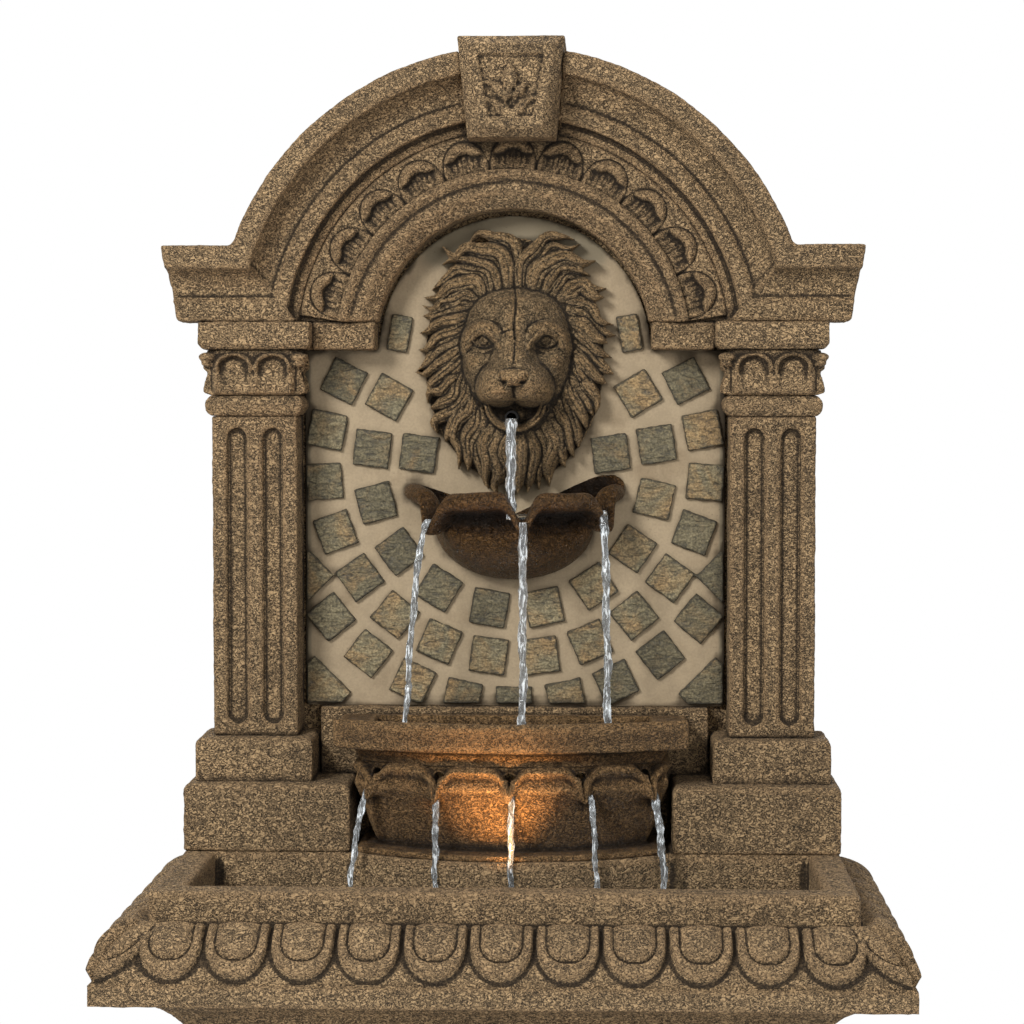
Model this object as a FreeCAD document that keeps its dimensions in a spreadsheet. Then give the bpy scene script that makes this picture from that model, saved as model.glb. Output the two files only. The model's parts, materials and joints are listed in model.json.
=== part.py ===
import FreeCAD, Part
import math
import os

import Sketcher
from FreeCAD import Placement, Rotation, Vector

# Lion head floor fountain: a parametric FreeCAD macro, lengths in millimetres.
# X runs to the right, Y to the back and Z up. The origin is the middle of the floor outline.

SIZES = {
    # Overall
    "lip_width": 784.0,
    "overall_depth": 432.0,
    "floor_pad_height": 4.0,
    "floor_pad_radius": 17.0,
    # Pedestal
    "foot_top": 62.0,
    "foot_inset": 57.0,
    "foot_slope": 23.0,
    "die_inset": 92.0,
    "cove_radius": 82.0,
    "pedestal_top": 323.0,
    "pedestal_wall": 9.0,
    # Basin
    "lip_height": 22.0,
    "egg_band_height": 45.0,
    "egg_band_start": 4.0,
    "rim_inset": 49.5,
    "rim_height": 35.0,
    "rim_thickness": 34.0,
    "basin_floor": 12.0,
    "boss_half_width": 166.0,
    "boss_reach": 60.0,
    "boss_wall": 14.0,
    "flow_slot_width": 90.0,
    "flow_slot_height": 20.0,
    "egg_pitch": 63.0,
    "egg_half_width": 26.0,
    "egg_half_length": 25.0,
    "egg_relief": 12.0,
    # Wall and its back
    "wall_depth": 58.0,
    "wall_half_width": 318.0,
    "wall_shoulder": 1050.0,
    "wall_arch_radius": 300.0,
    "wall_shell": 10.0,
    "cover_ledge": 12.0,
    "cover_thickness": 8.0,
    "cover_recess": 16.0,
    "cover_gap": 0.5,
    "hose_passage_half": 130.0,
    # Tile panel
    "panel_thickness": 8.0,
    "panel_half_width": 226.0,
    "panel_bottom": 566.0,
    "tile_size": 39.0,
    "tile_relief": 5.0,
    "edge_tile_height": 707.0,
    "corner_tile_size": 57.0,
    "slim_tile_side": 123.0,
    "slim_tile_height": 967.0,
    "slim_tile_width": 23.0,
    "tile_centre": 824.0,
    "tile_ring_one": 104.0,
    "tile_ring_two": 154.0,
    "tile_ring_three": 205.0,
    "tile_ring_four": 256.0,
    # Order of plinths, columns and cornice
    "lower_plinth_inner": 168.0,
    "lower_plinth_top": 495.0,
    "lower_plinth_reach": 113.0,
    "upper_plinth_outer": 334.0,
    "upper_plinth_inner": 210.0,
    "upper_plinth_top": 540.0,
    "upper_plinth_reach": 88.0,
    "plinth_bevel": 4.0,
    "column_inner": 228.0,
    "column_top": 879.0,
    "column_reach": 63.0,
    "flute_width": 21.0,
    "flute_offset": 19.0,
    "flute_depth": 7.0,
    "flute_margin": 12.0,
    "necking_height": 22.0,
    "necking_reach": 7.0,
    "capital_height": 48.0,
    "capital_flare": 18.0,
    "abacus_bottom": 949.0,
    "abacus_top": 978.0,
    "capital_inset": 4.0,
    "back_lap": 2.0,
    "abacus_overhang": 16.0,
    "abacus_bevel": 5.0,
    "impost_reach": 54.0,
    "casting_wall": 10.0,
    "cornice_slant": 13.0,
    "cornice_half_width": 366.0,
    "cornice_top": 1057.0,
    "cornice_reach": 98.0,
    "cornice_fascia": 25.0,
    "cornice_cove": 31.0,
    "moulding_step": 6.0,
    "cove_depth": 24.0,
    "bead_step": 4.0,
    # Arch
    "arch_centre": 951.0,
    "arch_outer": 310.0,
    "arch_fascia": 286.0,
    "arch_cove": 256.0,
    "arch_bead": 240.0,
    "arch_groove": 228.0,
    "arch_field": 184.0,
    "arch_band": 162.0,
    "arch_inner": 146.0,
    "groove_reach": 58.0,
    "field_reach": 50.0,
    "band_reach": 60.0,
    "reveal_reach": 46.0,
    "leaf_angle": 14.7,
    "leaf_half_width": 21.0,
    "leaf_half_length": 14.5,
    "leaf_relief": 15.0,
    # Keystone
    "keystone_height": 104.0,
    "keystone_leaf_gap": 1.5,
    "keystone_top_half": 55.5,
    "keystone_bottom_half": 46.0,
    "keystone_reach": 108.0,
    "keystone_bevel": 11.0,
    "keystone_panel_inset": 20.0,
    "keystone_panel_depth": 4.0,
    # Lion mask and its spout
    "lion_rise": 67.0,
    "lion_half_width": 104.0,
    "lion_half_height": 128.0,
    "lion_relief": 52.0,
    "muzzle_reach": 104.0,
    "mouth_height": 878.0,
    "spout_reach": 92.0,
    "spout_radius": 7.0,
    "spout_bore": 5.0,
    "spout_gap": 0.3,
    "barb_length": 30.0,
    "barb_wall": 1.5,
    # Upper bowl
    "upper_bowl_bottom": 703.0,
    "upper_bowl_top": 800.0,
    "upper_bowl_lip": 119.0,
    "upper_bowl_neck": 98.0,
    "upper_bowl_foot": 24.0,
    "upper_bowl_curve": 92.0,
    "upper_bowl_wall": 10.0,
    "upper_bowl_notch": 13.0,
    # Apron, spout bowl and shelf
    "apron_reach": 26.0,
    "apron_gap": 2.0,
    "spout_bowl_base": 138.0,
    "spout_bowl_waist": 150.0,
    "spout_bowl_collar": 161.0,
    "spout_bowl_top": 520.0,
    "spout_bowl_reach": 132.0,
    "spout_bowl_sag": 50.0,
    "spout_bowl_wall": 12.0,
    "spout_hole": 6.0,
    "spout_hole_height": 508.0,
    "shelf_neck": 164.0,
    "shelf_bottom": 536.0,
    "shelf_top": 559.0,
    "shelf_half_width": 184.0,
    "shelf_reach": 146.0,
    "shelf_sag": 42.0,
    "shelf_band": 20.0,
    # Pump
    "pump_width": 90.0,
    "pump_depth": 64.0,
    "pump_height": 58.0,
    "pump_back_gap": 6.0,
    "pump_foot_height": 9.0,
    "pump_foot_radius": 9.0,
    "pump_cover_thickness": 12.0,
    "volute_radius": 22.0,
    "volute_depth": 15.0,
    "rotor_bore": 11.0,
    "rotor_radius": 10.2,
    "rotor_length": 44.0,
    "impeller_radius": 19.5,
    "blade_thickness": 3.0,
    "blade_length": 9.0,
    "shaft_radius": 2.0,
    "running_gap": 0.05,
    "knob_radius": 9.0,
    "knob_length": 9.0,
    "knob_stem_radius": 3.0,
    "knob_stem_length": 7.0,
    "outlet_radius": 6.0,
    "outlet_bore": 4.5,
    "outlet_height": 24.0,
    # Hose
    "hose_radius": 8.0,
    "hose_centre": 36.0,
    "clamp_width": 8.0,
    "clamp_thickness": 1.6,
    # Spot light
    "light_radius": 23.0,
    "light_length": 46.0,
    "light_wall": 2.5,
    "light_pivot_height": 42.0,
    "light_tilt": 32.0,
    "yoke_gap": 2.0,
    "yoke_thickness": 3.0,
    "yoke_width": 22.0,
    "pivot_radius": 3.0,
    "lens_thickness": 4.0,
    "bezel_thickness": 3.0,
    # Rear door
    "door_half_width": 78.0,
    "door_bottom": 457.0,
    "door_top": 637.0,
    "door_gap": 2.0,
    "hinge_offset": 6.0,
    "hinge_margin": 35.0,
    "hinge_rise": 5.0,
    "hinge_barrel": 4.5,
    "hinge_pin_radius": 2.0,
    "hinge_leaf_length": 24.0,
    "hinge_leaf_width": 18.0,
    "hinge_leaf_thickness": 2.0,
    "pull_width": 10.0,
    "pull_height": 44.0,
    "pull_depth": 11.0,
    "pull_inset": 20.0,
    "catch_half_height": 14.0,
    "catch_width": 16.0,
    "magnet_depth": 10.0,
    "strike_thickness": 2.0,
    # Drain and cable entry
    "drain_radius": 12.0,
    "drain_gap": 0.3,
    "drain_flange": 18.0,
    "drain_flange_height": 5.0,
    "drain_wall_gap": 38.5,
    "drain_forward": 38.0,
    "gland_radius": 10.0,
    "gland_flange": 13.5,
    "gland_bore": 5.5,
    "gland_side": 125.0,
    "gland_height": 475.0,
    # Fasteners
    "screw_radius": 1.8,
    "screw_head": 4.2,
    "screw_head_height": 2.6,
    "screw_gap": 0.3,
    "screw_length": 18.0,
    "screw_first": 45.0,
    "screw_pitch": 235.0,
    "bolt_radius": 4.0,
    "bolt_head": 7.0,
    "bolt_head_height": 5.0,
    "bolt_gap": 0.3,
    "bolt_wall_gap": 8.0,
    "bolt_inner_offset": 30.0,
    "bolt_tail": 9.0,
    "nut_height": 6.0,
    "mask_bolt_radius": 3.0,
    "mask_bolt_side": 46.0,
    "mask_bolt_rise": 86.0,
    "mask_bolt_depth": 16.0,
}


class Dim:
    """A length known both as a number and as the sheet expression that gives it."""

    def __init__(self, number, text):
        self.number = number
        self.text = text

    @staticmethod
    def of(value):
        if isinstance(value, Dim):
            return value
        return Dim(float(value), "(%r)" % float(value))

    def __add__(self, other):
        other = Dim.of(other)
        return Dim(self.number + other.number, "(%s + %s)" % (self.text, other.text))

    def __sub__(self, other):
        other = Dim.of(other)
        return Dim(self.number - other.number, "(%s - %s)" % (self.text, other.text))

    def __mul__(self, other):
        other = Dim.of(other)
        return Dim(self.number * other.number, "(%s * %s)" % (self.text, other.text))

    def __truediv__(self, other):
        other = Dim.of(other)
        return Dim(self.number / other.number, "(%s / %s)" % (self.text, other.text))

    def __radd__(self, other):
        return Dim.of(other) + self

    def __rsub__(self, other):
        return Dim.of(other) - self

    def __rmul__(self, other):
        return Dim.of(other) * self

    def __neg__(self):
        return Dim(-self.number, "(-1 * %s)" % self.text)

    def root(self):
        return Dim(math.sqrt(self.number), "sqrt(%s)" % self.text)


doc = FreeCAD.newDocument("lion_head_floor_fountain")
sheet = doc.addObject("Spreadsheet::Sheet", "Sizes")
size = {}
for row, (alias, value) in enumerate(SIZES.items(), start=1):
    sheet.set("A%d" % row, alias)
    sheet.set("B%d" % row, str(value))
    sheet.setAlias("B%d" % row, alias)
    size[alias] = Dim(value, "Sizes.%s" % alias)
doc.recompute()

nodes = []


def keep(item, label):
    """Marks a document object as one sub-part that is handed on under its label."""
    item.Label = label
    nodes.append(item)
    return item


def bind(item, path, dim):
    dim = Dim.of(dim)
    item.setExpression(path, dim.text)


def place(item, x=0.0, y=0.0, z=0.0, axis=None, angle=0.0):
    """Puts an object at sheet driven coordinates, turned about one axis if asked."""
    x, y, z = Dim.of(x), Dim.of(y), Dim.of(z)
    angle = Dim.of(angle)
    turn = Rotation()
    if axis is not None:
        turn = Rotation(axis, angle.number)
    item.Placement = Placement(Vector(x.number, y.number, z.number), turn)
    bind(item, "Placement.Base.x", x)
    bind(item, "Placement.Base.y", y)
    bind(item, "Placement.Base.z", z)
    if axis is not None and "Sizes." in angle.text:
        bind(item, "Placement.Rotation.Angle", angle)
    return item


# Sketches

def new_body(label):
    body = doc.addObject("PartDesign::Body", label)
    return keep(body, label)


def plane_of(body, role):
    for feature in body.Origin.OriginFeatures:
        if feature.Role == role:
            return feature
    raise ValueError("no plane %s" % role)


def new_sketch(body, name, role, offset):
    """A sketch on one of the body's own origin planes, offset along the plane's normal."""
    offset = Dim.of(offset)
    sketch = body.newObject("Sketcher::SketchObject", name)
    sketch.AttachmentSupport = [(plane_of(body, role), "")]
    sketch.MapMode = "FlatFace"
    sketch.AttachmentOffset = Placement(Vector(0, 0, offset.number), Rotation())
    bind(sketch, "AttachmentOffset.Base.z", offset)
    return sketch


def arc_between(start, end, radius, turn):
    """The short arc from start to end; turn is 1 for counter-clockwise and -1 for clockwise."""
    middle = (start + end) * 0.5
    chord = end - start
    half = chord.Length / 2.0
    rise = math.sqrt(max(radius * radius - half * half, 0.0))
    side = Vector(-chord.y, chord.x, 0)
    side.normalize()
    centre = middle + side * (rise * turn)
    first, last = (start, end) if turn > 0 else (end, start)
    angle_first = math.atan2(first.y - centre.y, first.x - centre.x)
    angle_last = math.atan2(last.y - centre.y, last.x - centre.x)
    circle = Part.Circle(centre, Vector(0, 0, 1), radius)
    return Part.ArcOfCircle(circle, angle_first, angle_last)


def draw_outline(sketch, points):
    """Draws and dimensions one closed outline.

    A point is (u, v), or (u, v, radius, turn) when an arc leads from it to the next point.
    """
    count = len(points)
    spots = [Vector(Dim.of(p[0]).number, Dim.of(p[1]).number, 0) for p in points]
    edges = []
    for index, point in enumerate(points):
        start = spots[index]
        end = spots[(index + 1) % count]
        if len(point) == 2:
            geometry = sketch.addGeometry(Part.LineSegment(start, end), False)
            edges.append((geometry, 1, 2))
        else:
            radius, turn = Dim.of(point[2]), point[3]
            geometry = sketch.addGeometry(arc_between(start, end, radius.number, turn), False)
            edges.append((geometry, 1, 2) if turn > 0 else (geometry, 2, 1))
    for index in range(count):
        before = edges[index - 1]
        after = edges[index]
        sketch.addConstraint(Sketcher.Constraint("Coincident", before[0], before[2], after[0], after[1]))
    for index, point in enumerate(points):
        edge = edges[index]
        for kind, coordinate in (("DistanceX", Dim.of(point[0])), ("DistanceY", Dim.of(point[1]))):
            constraint = Sketcher.Constraint(kind, -1, 1, edge[0], edge[1], coordinate.number)
            number = sketch.addConstraint(constraint)
            bind(sketch, "Constraints[%d]" % number, coordinate)
        if len(point) > 2:
            radius = Dim.of(point[2])
            number = sketch.addConstraint(Sketcher.Constraint("Radius", edge[0], radius.number))
            bind(sketch, "Constraints[%d]" % number, radius)
    return sketch


def draw_circle(sketch, u, v, radius):
    u, v, radius = Dim.of(u), Dim.of(v), Dim.of(radius)
    circle = Part.Circle(Vector(u.number, v.number, 0), Vector(0, 0, 1), radius.number)
    geometry = sketch.addGeometry(circle, False)
    for kind, coordinate in (("DistanceX", u), ("DistanceY", v)):
        number = sketch.addConstraint(Sketcher.Constraint(kind, -1, 1, geometry, 3, coordinate.number))
        bind(sketch, "Constraints[%d]" % number, coordinate)
    number = sketch.addConstraint(Sketcher.Constraint("Radius", geometry, radius.number))
    bind(sketch, "Constraints[%d]" % number, radius)
    return sketch


def rectangle(u_low, u_high, v_low, v_high):
    return [(u_low, v_low), (u_high, v_low), (u_high, v_high), (u_low, v_high)]


# Features

def pad(body, sketch, length, reverse=False):
    feature = body.newObject("PartDesign::Pad", sketch.Name + "_pad")
    feature.Profile = sketch
    feature.Reversed = reverse
    bind(feature, "Length", length)
    body.Tip = feature
    return feature


def pocket(body, sketch, length, reverse=False):
    feature = body.newObject("PartDesign::Pocket", sketch.Name + "_pocket")
    feature.Profile = sketch
    feature.Reversed = reverse
    bind(feature, "Length", length)
    body.Tip = feature
    return feature


def pad_front(body, name, points, y_front, y_back):
    """Pads an outline drawn as seen from the front, from y_back forward to y_front."""
    sketch = draw_outline(new_sketch(body, name, "XZ_Plane", -Dim.of(y_back)), points)
    return pad(body, sketch, Dim.of(y_back) - y_front)


def pocket_back(body, name, points, y_from, depth):
    """Cuts an outline drawn as seen from the front, from y_from forward by depth."""
    sketch = draw_outline(new_sketch(body, name, "XZ_Plane", -Dim.of(y_from)), points)
    return pocket(body, sketch, depth, reverse=True)


def pocket_front(body, name, points, y_from, depth):
    """Cuts an outline drawn as seen from the front, from y_from backward by depth."""
    sketch = draw_outline(new_sketch(body, name, "XZ_Plane", -Dim.of(y_from)), points)
    return pocket(body, sketch, depth)


def pocket_down(body, name, points, z_from, depth):
    sketch = draw_outline(new_sketch(body, name, "XY_Plane", z_from), points)
    return pocket(body, sketch, depth)


def pocket_up(body, name, points, z_from, depth):
    sketch = draw_outline(new_sketch(body, name, "XY_Plane", z_from), points)
    return pocket(body, sketch, depth, reverse=True)


def holes_along_y(body, name, spots, radius, y_from, depth):
    """Drills round holes forward from y_from at the given (x, z) spots."""
    sketch = new_sketch(body, name, "XZ_Plane", -Dim.of(y_from))
    for x, z in spots:
        draw_circle(sketch, x, z, radius)
    return pocket(body, sketch, depth, reverse=True)


def holes_down(body, name, spots, radius, z_from, depth):
    sketch = new_sketch(body, name, "XY_Plane", z_from)
    for x, y in spots:
        draw_circle(sketch, x, y, radius)
    return pocket(body, sketch, depth)


def revolve(body, sketch, axis_role, angle, symmetric):
    feature = body.newObject("PartDesign::Revolution", sketch.Name + "_turned")
    feature.Profile = sketch
    feature.ReferenceAxis = (plane_of(body, axis_role), [""])
    feature.Angle = angle
    feature.Midplane = symmetric
    body.Tip = feature
    return feature


def moulded_block(label, x_low, x_high, y_front, y_back, steps):
    """A block with the same moulding on its front and both ends and a flat back.

    Each step is (inset, height), or (inset, height, radius, swell) when an arc leads to the
    next step; swell is 1 for a convex arc and -1 for a hollow one.
    """
    body = new_body(label)
    right = []
    for step in steps:
        corner = (x_high - step[0], step[1])
        right.append(corner if len(step) == 2 else corner + (step[2], step[3]))
    left = []
    for index in range(len(steps) - 1, -1, -1):
        corner = (x_low + steps[index][0], steps[index][1])
        if index > 0 and len(steps[index - 1]) > 2:
            corner = corner + (steps[index - 1][2], steps[index - 1][3])
        left.append(corner)
    pad_front(body, label + "_sides", right + left, y_front, y_back)
    margin = 15.0
    low, high = steps[0], steps[-1]
    front = [(y_front - margin, low[1] - margin), (y_front + low[0], low[1] - margin)]
    for step in steps:
        corner = (y_front + step[0], step[1])
        front.append(corner if len(step) == 2 else corner + (step[2], -step[3]))
    front.append((y_front + high[0], high[1] + margin))
    front.append((y_front - margin, high[1] + margin))
    sketch = draw_outline(new_sketch(body, label + "_front", "YZ_Plane", x_low - margin), front)
    pocket(body, sketch, x_high - x_low + 2.0 * margin, reverse=True)
    return body


def cylinder(name, radius, height, x=0.0, y=0.0, z=0.0, axis=None, angle=0.0):
    item = doc.addObject("Part::Cylinder", name)
    bind(item, "Radius", radius)
    bind(item, "Height", height)
    return place(item, x, y, z, axis, angle)


def box(name, x_low, x_high, y_low, y_high, z_low, z_high):
    item = doc.addObject("Part::Box", name)
    bind(item, "Length", Dim.of(x_high) - x_low)
    bind(item, "Width", Dim.of(y_high) - y_low)
    bind(item, "Height", Dim.of(z_high) - z_low)
    return place(item, x_low, y_low, z_low)


def ellipsoid(name, along_z, along_x, along_y, x, y, z, axis=None, angle=0.0, half=False):
    item = doc.addObject("Part::Ellipsoid", name)
    bind(item, "Radius1", along_z)
    bind(item, "Radius2", along_x)
    bind(item, "Radius3", along_y)
    item.Angle1 = 0.0 if half else -90.0
    item.Angle2 = 90.0
    item.Angle3 = 360.0
    return place(item, x, y, z, axis, angle)


def fuse(name, parts):
    item = doc.addObject("Part::MultiFuse", name)
    item.Shapes = parts
    return item


def group(name, parts):
    item = doc.addObject("Part::Compound", name)
    item.Links = parts
    return item


def cut(name, base, tool):
    item = doc.addObject("Part::Cut", name)
    item.Base = base
    item.Tool = tool
    return item


def common(name, base, tool):
    item = doc.addObject("Part::Common", name)
    item.Base = base
    item.Tool = tool
    return item


X_AXIS = Vector(1, 0, 0)
Y_AXIS = Vector(0, 1, 0)
Z_AXIS = Vector(0, 0, 1)

# Shared planes and levels
half_width = size["lip_width"] / 2
y_lip = -(size["overall_depth"] / 2)
y_back = size["overall_depth"] / 2
y_wall = y_back - size["wall_depth"]
y_panel = y_wall - size["panel_thickness"]
y_cover = y_back - size["cover_recess"] - size["cover_thickness"]
y_cover_back = y_cover + size["cover_thickness"]
y_cavity = y_wall + size["wall_shell"]
y_hose = y_back - size["hose_centre"]
y_plinth = y_wall - size["lower_plinth_reach"]
z_basin = size["pedestal_top"]
z_rim = z_basin + size["lip_height"] + size["egg_band_height"] + size["rim_height"]
z_floor = z_basin + size["basin_floor"]
rim_half = half_width - size["rim_inset"]
trough_half = rim_half - size["rim_thickness"]
y_trough = y_lip + size["rim_inset"] + size["rim_thickness"]


# Pedestal and floor pads

cove_low = size["pedestal_top"] - size["cove_radius"]
cove_inset = size["die_inset"] - size["cove_radius"]
pedestal = moulded_block("pedestal", -half_width, half_width, y_lip, y_back, [
    (size["foot_inset"], size["floor_pad_height"]),
    (size["foot_inset"], size["foot_top"]),
    (size["die_inset"], size["foot_top"] + size["foot_slope"]),
    (size["die_inset"], cove_low, size["cove_radius"], -1),
    (cove_inset, size["pedestal_top"]),
])
hollow_half = half_width - size["die_inset"] - size["pedestal_wall"]
hollow_front = y_lip + size["die_inset"] + size["pedestal_wall"]
hollow_back = y_back - size["pedestal_wall"]
pocket_down(pedestal, "pedestal_hollow",
            rectangle(-hollow_half, hollow_half, hollow_front, hollow_back),
            size["pedestal_top"], size["pedestal_top"])

pad_x = half_width - size["foot_inset"] - size["floor_pad_radius"] - 4.0
pad_front_y = y_lip + size["foot_inset"] + size["floor_pad_radius"] + 4.0
pad_back_y = y_back - size["floor_pad_radius"] - 4.0
floor_pads = []
for index, (x, y) in enumerate(((-pad_x, pad_front_y), (pad_x, pad_front_y), (-pad_x, pad_back_y),
                                (pad_x, pad_back_y))):
    floor_pads.append(cylinder("floor_pad_%d" % index, size["floor_pad_radius"], size["floor_pad_height"],
                               x, y))
keep(group("floor_pads_group", floor_pads), "floor_pads")


# Basin

basin = moulded_block("basin", -half_width, half_width, y_lip, y_back, [
    (Dim.of(0), z_basin),
    (Dim.of(0), z_basin + size["lip_height"]),
    (size["egg_band_start"], z_basin + size["lip_height"]),
    (size["rim_inset"], z_basin + size["lip_height"] + size["egg_band_height"]),
    (size["rim_inset"], z_rim),
])
boss = size["boss_half_width"]
boss_reach = size["boss_reach"]
boss_radius = (boss * boss + boss_reach * boss_reach) / (2.0 * boss_reach)
pocket_down(basin, "basin_trough", [
    (-trough_half, y_trough),
    (trough_half, y_trough),
    (trough_half, y_plinth),
    (boss, y_plinth, boss_radius, -1),
    (-boss, y_plinth),
    (-trough_half, y_plinth),
], z_rim, z_rim - z_floor)
chamber = boss - size["boss_wall"]
chamber_back = y_back - size["boss_wall"]
chamber_radius = (chamber * chamber + boss_reach * boss_reach) / (2.0 * boss_reach)
pocket_down(basin, "basin_chamber", [
    (-chamber, y_plinth + size["boss_wall"], chamber_radius, 1),
    (chamber, y_plinth + size["boss_wall"]),
    (chamber, chamber_back),
    (-chamber, chamber_back),
], z_rim, z_rim - z_floor)
slot_half = size["flow_slot_width"] / 2
slot_front = y_plinth - boss_reach - 10.0
pocket_front(basin, "basin_flow_slot",
             rectangle(-slot_half, slot_half, z_floor, z_floor + size["flow_slot_height"]),
             slot_front, boss_reach)
rear_low = chamber + size["boss_wall"]
drain_x = trough_half - size["drain_wall_gap"]
drain_y = y_plinth - size["drain_forward"]
holes_down(basin, "basin_drain", [(drain_x, drain_y)], size["drain_radius"], z_floor, size["basin_floor"])
wall_bolt_spots = []
for side in (-1, 1):
    wall_bolt_spots.append((side * (rear_low + size["bolt_inner_offset"]), y_hose))
    wall_bolt_spots.append((side * (hollow_half - size["bolt_head"] - size["bolt_wall_gap"]), y_hose))
bolt_hole = size["bolt_radius"] + size["bolt_gap"]
holes_down(basin, "basin_bolt_holes", wall_bolt_spots, bolt_hole, z_rim, z_rim - z_basin)

# Egg ornaments on the slanted band
band_run = size["rim_inset"] - size["egg_band_start"]
band_rise = size["egg_band_height"]
band_tilt = Dim(math.degrees(math.atan(band_rise.number / band_run.number)),
                "atan(%s / %s)" % (band_rise.text, band_run.text))
band_inset = (size["rim_inset"] + size["egg_band_start"]) / 2
band_z = z_basin + size["lip_height"] + band_rise / 2
eggs = []
for index in range(-5, 6):
    eggs.append(ellipsoid("egg_front_%d" % (index + 5), size["egg_relief"], size["egg_half_width"],
                          size["egg_half_length"], index * size["egg_pitch"], y_lip + band_inset, band_z,
                          X_AXIS, band_tilt, half=True))
for side in (-1, 1):
    for index in range(6):
        along = y_lip + size["egg_pitch"] * (index + 1.0)
        egg_name = "egg_side_%d_%d" % (side + 1, index)
        eggs.append(ellipsoid(egg_name, size["egg_relief"], size["egg_half_length"], size["egg_half_width"],
                              side * (half_width - band_inset), along, band_z, Y_AXIS * side, band_tilt,
                              half=True))
keep(group("egg_group", eggs), "egg_ornaments")

# Drain plug
plug_radius = size["drain_radius"] - size["drain_gap"]
plug_shank = cylinder("plug_shank", plug_radius, size["basin_floor"] + size["drain_flange_height"],
                      drain_x, drain_y, z_basin)
plug_flange = cylinder("plug_flange", size["drain_flange"], size["drain_flange_height"],
                       drain_x, drain_y, z_floor)
plug_grip = box("plug_grip", drain_x - 3.0, drain_x + 3.0, drain_y - 9.0, drain_y + 9.0,
                z_floor + size["drain_flange_height"], z_floor + size["drain_flange_height"] + 16.0)
keep(fuse("plug_whole", [plug_shank, plug_flange, plug_grip]), "drain_plug")


# Wall core, rear cover and door

def wall_outline(inset, bottom):
    """The arched outline of the wall seen from the front, moved inwards by inset."""
    side = size["wall_half_width"] - inset
    radius = size["wall_arch_radius"] - inset
    shoulder = size["wall_shoulder"] - inset
    rise = shoulder - size["arch_centre"]
    spring = (radius * radius - rise * rise).root()
    return [
        (-side, bottom),
        (side, bottom),
        (side, shoulder),
        (spring, shoulder, radius, 1),
        (-spring, shoulder),
        (-side, shoulder),
    ]


wall = new_body("wall_core")
pad_front(wall, "wall_face", wall_outline(Dim.of(0), z_rim), y_wall, y_back)
cover_fit = size["wall_shell"]
pocket_back(wall, "wall_cover_recess", wall_outline(cover_fit, z_rim + size["wall_shell"]), y_back,
            y_back - y_cover)
cavity_inset = size["wall_shell"] + size["cover_ledge"]
pocket_back(wall, "wall_cavity", wall_outline(cavity_inset, z_rim + size["wall_shell"]), y_back,
            y_back - y_cavity)
passage = size["hose_passage_half"]
pocket_up(wall, "wall_hose_passage", rectangle(-passage, passage, y_cavity, y_cover), z_rim,
          size["wall_shell"])
spout_hole = size["spout_radius"] + size["spout_gap"]
holes_along_y(wall, "wall_spout_hole", [(Dim.of(0), size["mouth_height"])], spout_hole, y_cavity,
              size["wall_shell"])
mask_bolt_z = size["mouth_height"] + size["mask_bolt_rise"]
mask_bolt_spots = [(-size["mask_bolt_side"], mask_bolt_z), (size["mask_bolt_side"], mask_bolt_z)]
mask_bolt_hole = size["mask_bolt_radius"] + size["bolt_gap"]
holes_along_y(wall, "wall_mask_holes", mask_bolt_spots, mask_bolt_hole, y_cavity, size["wall_shell"])
holes_down(wall, "wall_bolt_holes", wall_bolt_spots, bolt_hole, z_rim + size["wall_shell"],
           size["wall_shell"])
screw_x = size["wall_half_width"] - size["wall_shell"] - size["cover_ledge"] / 2
screw_spots = []
for step in range(3):
    level = z_rim + size["screw_first"] + step * size["screw_pitch"]
    screw_spots.append((-screw_x, level))
    screw_spots.append((screw_x, level))
screw_length = size["screw_length"]
holes_along_y(wall, "wall_screw_holes", screw_spots, size["screw_radius"] + size["running_gap"], y_cover,
              screw_length - size["cover_thickness"])

cover = new_body("rear_cover")
cover_inset = cover_fit + size["cover_gap"]
pad_front(cover, "cover_face", wall_outline(cover_inset, z_rim + size["wall_shell"] + size["cover_gap"]),
          y_cover, y_cover_back)
opening_half = size["door_half_width"] + size["door_gap"]
pocket_back(cover, "cover_door_opening",
            rectangle(-opening_half, opening_half, size["door_bottom"] - size["door_gap"],
                      size["door_top"] + size["door_gap"]), y_cover_back, size["cover_thickness"])
holes_along_y(cover, "cover_screw_holes", screw_spots, size["screw_radius"] + size["screw_gap"],
              y_cover_back,
              size["cover_thickness"])
holes_along_y(cover, "cover_gland_hole", [(size["gland_side"], size["gland_height"])],
              size["gland_radius"] + size["running_gap"], y_cover_back, size["cover_thickness"])

screws = []
for index, (x, z) in enumerate(screw_spots):
    shank = cylinder("screw_shank_%d" % index, size["screw_radius"], screw_length, x, y_cover_back, z,
                     X_AXIS, 90.0)
    head = cylinder("screw_head_%d" % index, size["screw_head"], size["screw_head_height"], x,
                    y_cover_back + size["screw_head_height"], z, X_AXIS, 90.0)
    screws.append(fuse("screw_%d" % index, [shank, head]))
keep(group("cover_screw_group", screws), "cover_screws")

bolts = []
nuts = []
bolt_end = z_basin - size["bolt_tail"]
for index, (x, y) in enumerate(wall_bolt_spots):
    top = z_rim + size["wall_shell"]
    shank = cylinder("bolt_shank_%d" % index, size["bolt_radius"], top - bolt_end, x, y, bolt_end)
    head = cylinder("bolt_head_%d" % index, size["bolt_head"], size["bolt_head_height"], x, y, top)
    bolts.append(fuse("bolt_%d" % index, [shank, head]))
    blank = cylinder("nut_blank_%d" % index, size["bolt_head"], size["nut_height"], x, y,
                     z_basin - size["nut_height"])
    bore = cylinder("nut_bore_%d" % index, size["bolt_radius"] + size["running_gap"], size["nut_height"],
                    x, y,
                    z_basin - size["nut_height"])
    nuts.append(cut("nut_%d" % index, blank, bore))
keep(group("wall_bolt_group", bolts), "wall_bolts")
keep(group("wall_nut_group", nuts), "wall_nuts")

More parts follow.
